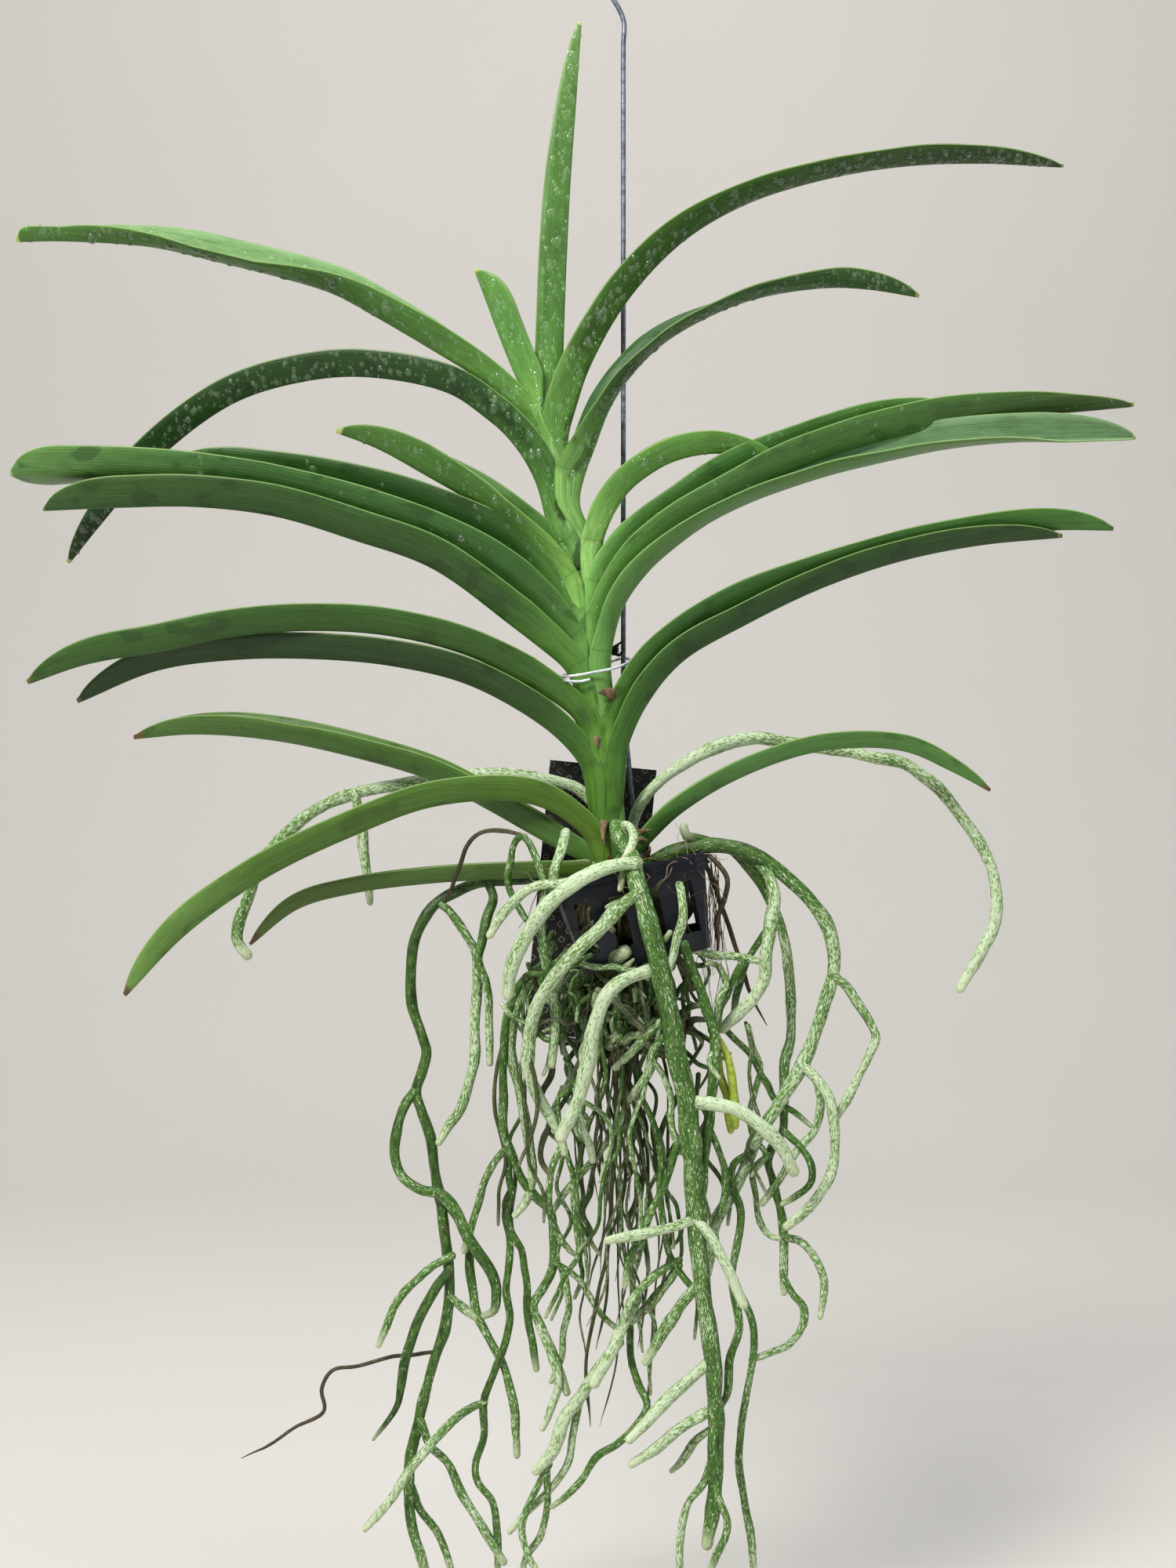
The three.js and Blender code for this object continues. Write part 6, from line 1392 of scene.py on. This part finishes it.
# The black cord that is wound round the hanger above the tie, with three loose ends. In mm.
KNOT = place(783.5, 830, 20)
CORD_RADIUS = 0.62
COIL_RADIUS, COIL_TURNS, COIL_TOP, COIL_HEIGHT = 2.1, 3.3, 2.4, 4.6
turns = np.linspace(0, COIL_TURNS * 2 * np.pi, 70)
coil = KNOT + np.stack([COIL_RADIUS * np.cos(turns), -COIL_RADIUS * np.sin(turns),
                        COIL_TOP - COIL_HEIGHT * turns / turns[-1]], -1)
loose = [[(0, -2, 2.2), (2.2, -3.4, 3.4), (4.4, -3.6, 4.8)],
         [(0, -2, -1.8), (2.6, -3.2, -2.8), (3.8, -2.8, -1.2)],
         [(-1, -2.2, 0.6), (-3.0, -3.0, 1.8)]]
knot = Piece("black_cord")
for cord in [coil] + [line_through(KNOT + np.array(end, float))[0] for end in loose]:
    tube(knot, cord, CORD_RADIUS, 8, {})
knot.build(plain_finish("cord_skin", rgb(8, 8, 9), rgb(26, 26, 28)))


SCALE_THICKNESS = 0.25
SCALE_CURL = 0.25


def flake(piece, points, width):
    """A thin dry scale along a line, widest at its start and curled across."""
    line = drawn(points)[::3]
    tangents = tangents_of(line)
    across = unit(np.cross(tangents, [0, -1, 0]))
    face = np.cross(across, tangents)
    s = np.linspace(-1, 1, 7)
    share = np.linspace(0, 1, len(line))
    half = width * (1 - 0.92 * share ** 1.4)
    rows = []
    for lift in (0, SCALE_THICKNESS):
        middle = line[:, None] + across[:, None] * (half[:, None] * s)[..., None]
        rows.append(middle + face[:, None] * (lift - SCALE_CURL * half[:, None] * s ** 2)[..., None])
    piece.loft(np.concatenate([rows[0], rows[1][:, ::-1]], axis=1), {})


tips.build(plain_finish("yellow_tip", rgb(112, 142, 44), rgb(186, 198, 78), 420, 0.55))

# Dry brown scales: one that stands out below the tie, and old ones round the foot of the stem.
DRY_SCALES = [
    ([(785, 886, -7), (777, 884, -10), (769, 883, -11.5), (762, 883, -12)], 3.4),
    ([(762, 938, -7), (761, 946, -8.5), (762, 955, -8)], 2.6),
    ([(771, 1046, -8), (769, 1062, -10), (772, 1082, -13)], 2.2),
    ([(785, 1106, -12), (779, 1098, -16), (775, 1088, -18)], 2.8),
    ([(788, 1108, -14), (793, 1099, -19), (788, 1092, -21)], 2.4),
    ([(812, 1062, -6), (822, 1059, -10), (832, 1058, -11)], 1.5),
    ([(806, 1074, -4), (818, 1070, -8), (826, 1072, -9)], 1.8),
    ([(822, 1096, -14), (828, 1086, -18), (830, 1078, -19)], 1.6)]
scales = Piece("dry_scales")
for points, width in DRY_SCALES:
    flake(scales, points, width)
scales.build(plain_finish("dry_scale", rgb(56, 44, 30), rgb(136, 114, 80)))

# Dry fibres that lie over the basket's rim and hang behind its right side.
FIBRES, RIM_FIBRES = 46, 24
fibres = Piece("dry_fibres")
random = np.random.default_rng(41)
for k in range(FIBRES):
    if k < RIM_FIBRES:
        start = in_basket(random.uniform(-44, 40), random.uniform(-42, -36), random.uniform(20, 27))
        points = wander(start, [random.choice([-1, 1]), -0.2, 0.1], int(random.uniform(6, 12)), 3.4,
                        random, 0.35, 0.12)
    else:
        start = place(random.uniform(896, 918), random.uniform(1090, 1130), random.uniform(-14, 8))
        points = wander(start, [0.2, 0, -1], int(random.uniform(9, 18)), 5.0, random, 0.16, 0.45)
    size = random.uniform(0.14, 0.32)
    line, _ = line_through(points, 4)
    tube(fibres, line, size * np.linspace(1, 0.5, len(line)), 5, {})
fibres.build(plain_finish("dry_fibre", rgb(74, 60, 42), rgb(158, 142, 110)))


# ------------------------------------------------------------------ stage, light and camera

def area_light(name, spot, target, size, power, colour):
    light = bpy.data.lights.new(name, "AREA")
    light.shape = "RECTANGLE"
    light.size, light.size_y = size
    light.energy = power
    light.color = colour
    lamp = bpy.data.objects.new(name, light)
    bpy.context.scene.collection.objects.link(lamp)
    lamp.location = spot
    right, back, up = np.array(target) - np.array(spot)
    lamp.rotation_euler = (math.atan2(math.hypot(right, back), -up), 0, math.atan2(-right, back))


# In metres from the hook.
FLOOR, TOP = -0.94, 2.2
FRONT, BACK = -2.6, 2.8
HALF_WIDTH = 3.2
BEND = 1.3


def studio():
    """A pale floor that sweeps up into a backdrop."""
    profile = [(FRONT, FLOOR), (BACK - BEND, FLOOR)]
    profile += [(BACK - BEND + BEND * math.sin(a), FLOOR + BEND * (1 - math.cos(a)))
                for a in np.linspace(0, math.pi / 2, 16)[1:]]
    profile += [(BACK, TOP)]
    points = [(x, y, z) for y, z in profile for x in (-HALF_WIDTH, HALF_WIDTH)]
    faces = [(2 * i, 2 * i + 1, 2 * i + 3, 2 * i + 2) for i in range(len(profile) - 1)]
    mesh = bpy.data.meshes.new("studio_floor")
    mesh.from_pydata(points, [], faces)
    mesh.shade_smooth()
    finish = Finish("studio_paper", Roughness=0.85)
    finish.colour(finish.mix(finish.noise(finish.where(), 3, 2), rgb(202, 199, 194), rgb(205, 202, 197)))
    mesh.materials.append(finish.material)
    floor = bpy.data.objects.new("studio_floor", mesh)
    bpy.context.scene.collection.objects.link(floor)


studio()
middle = (0, 0, -0.45)
area_light("key", (-1.1, -1.8, 1.2), middle, (0.7, 0.7), 80, (1.0, 0.985, 0.95))
area_light("fill", (1.8, -1.5, 0.2), middle, (1.6, 1.6), 10, (0.95, 0.98, 1.0))
area_light("top", (0.2, -0.3, 1.5), middle, (1.5, 1.1), 26, (0.97, 0.99, 1.0))
area_light("wash", (0.0, 0.9, 1.9), (0, 2.8, -0.3), (2.4, 0.6), 30, (1.0, 0.98, 0.95))
world = bpy.data.worlds.new("room")
world.use_nodes = True
world.node_tree.nodes["Background"].inputs["Color"].default_value = (0.93, 0.95, 1.0, 1.0)
world.node_tree.nodes["Background"].inputs["Strength"].default_value = 0.22
bpy.context.scene.world = world
bpy.context.scene.view_settings.view_transform = "Standard"

camera_data = bpy.data.cameras.new("camera")
camera_data.lens = 53.571
camera_data.sensor_width = 36
camera = bpy.data.objects.new("camera", camera_data)
camera.location = (-0.019202, -1.270, -0.45019)
camera.rotation_euler = (math.pi / 2, 0, 0)
bpy.context.scene.collection.objects.link(camera)
bpy.context.scene.camera = camera
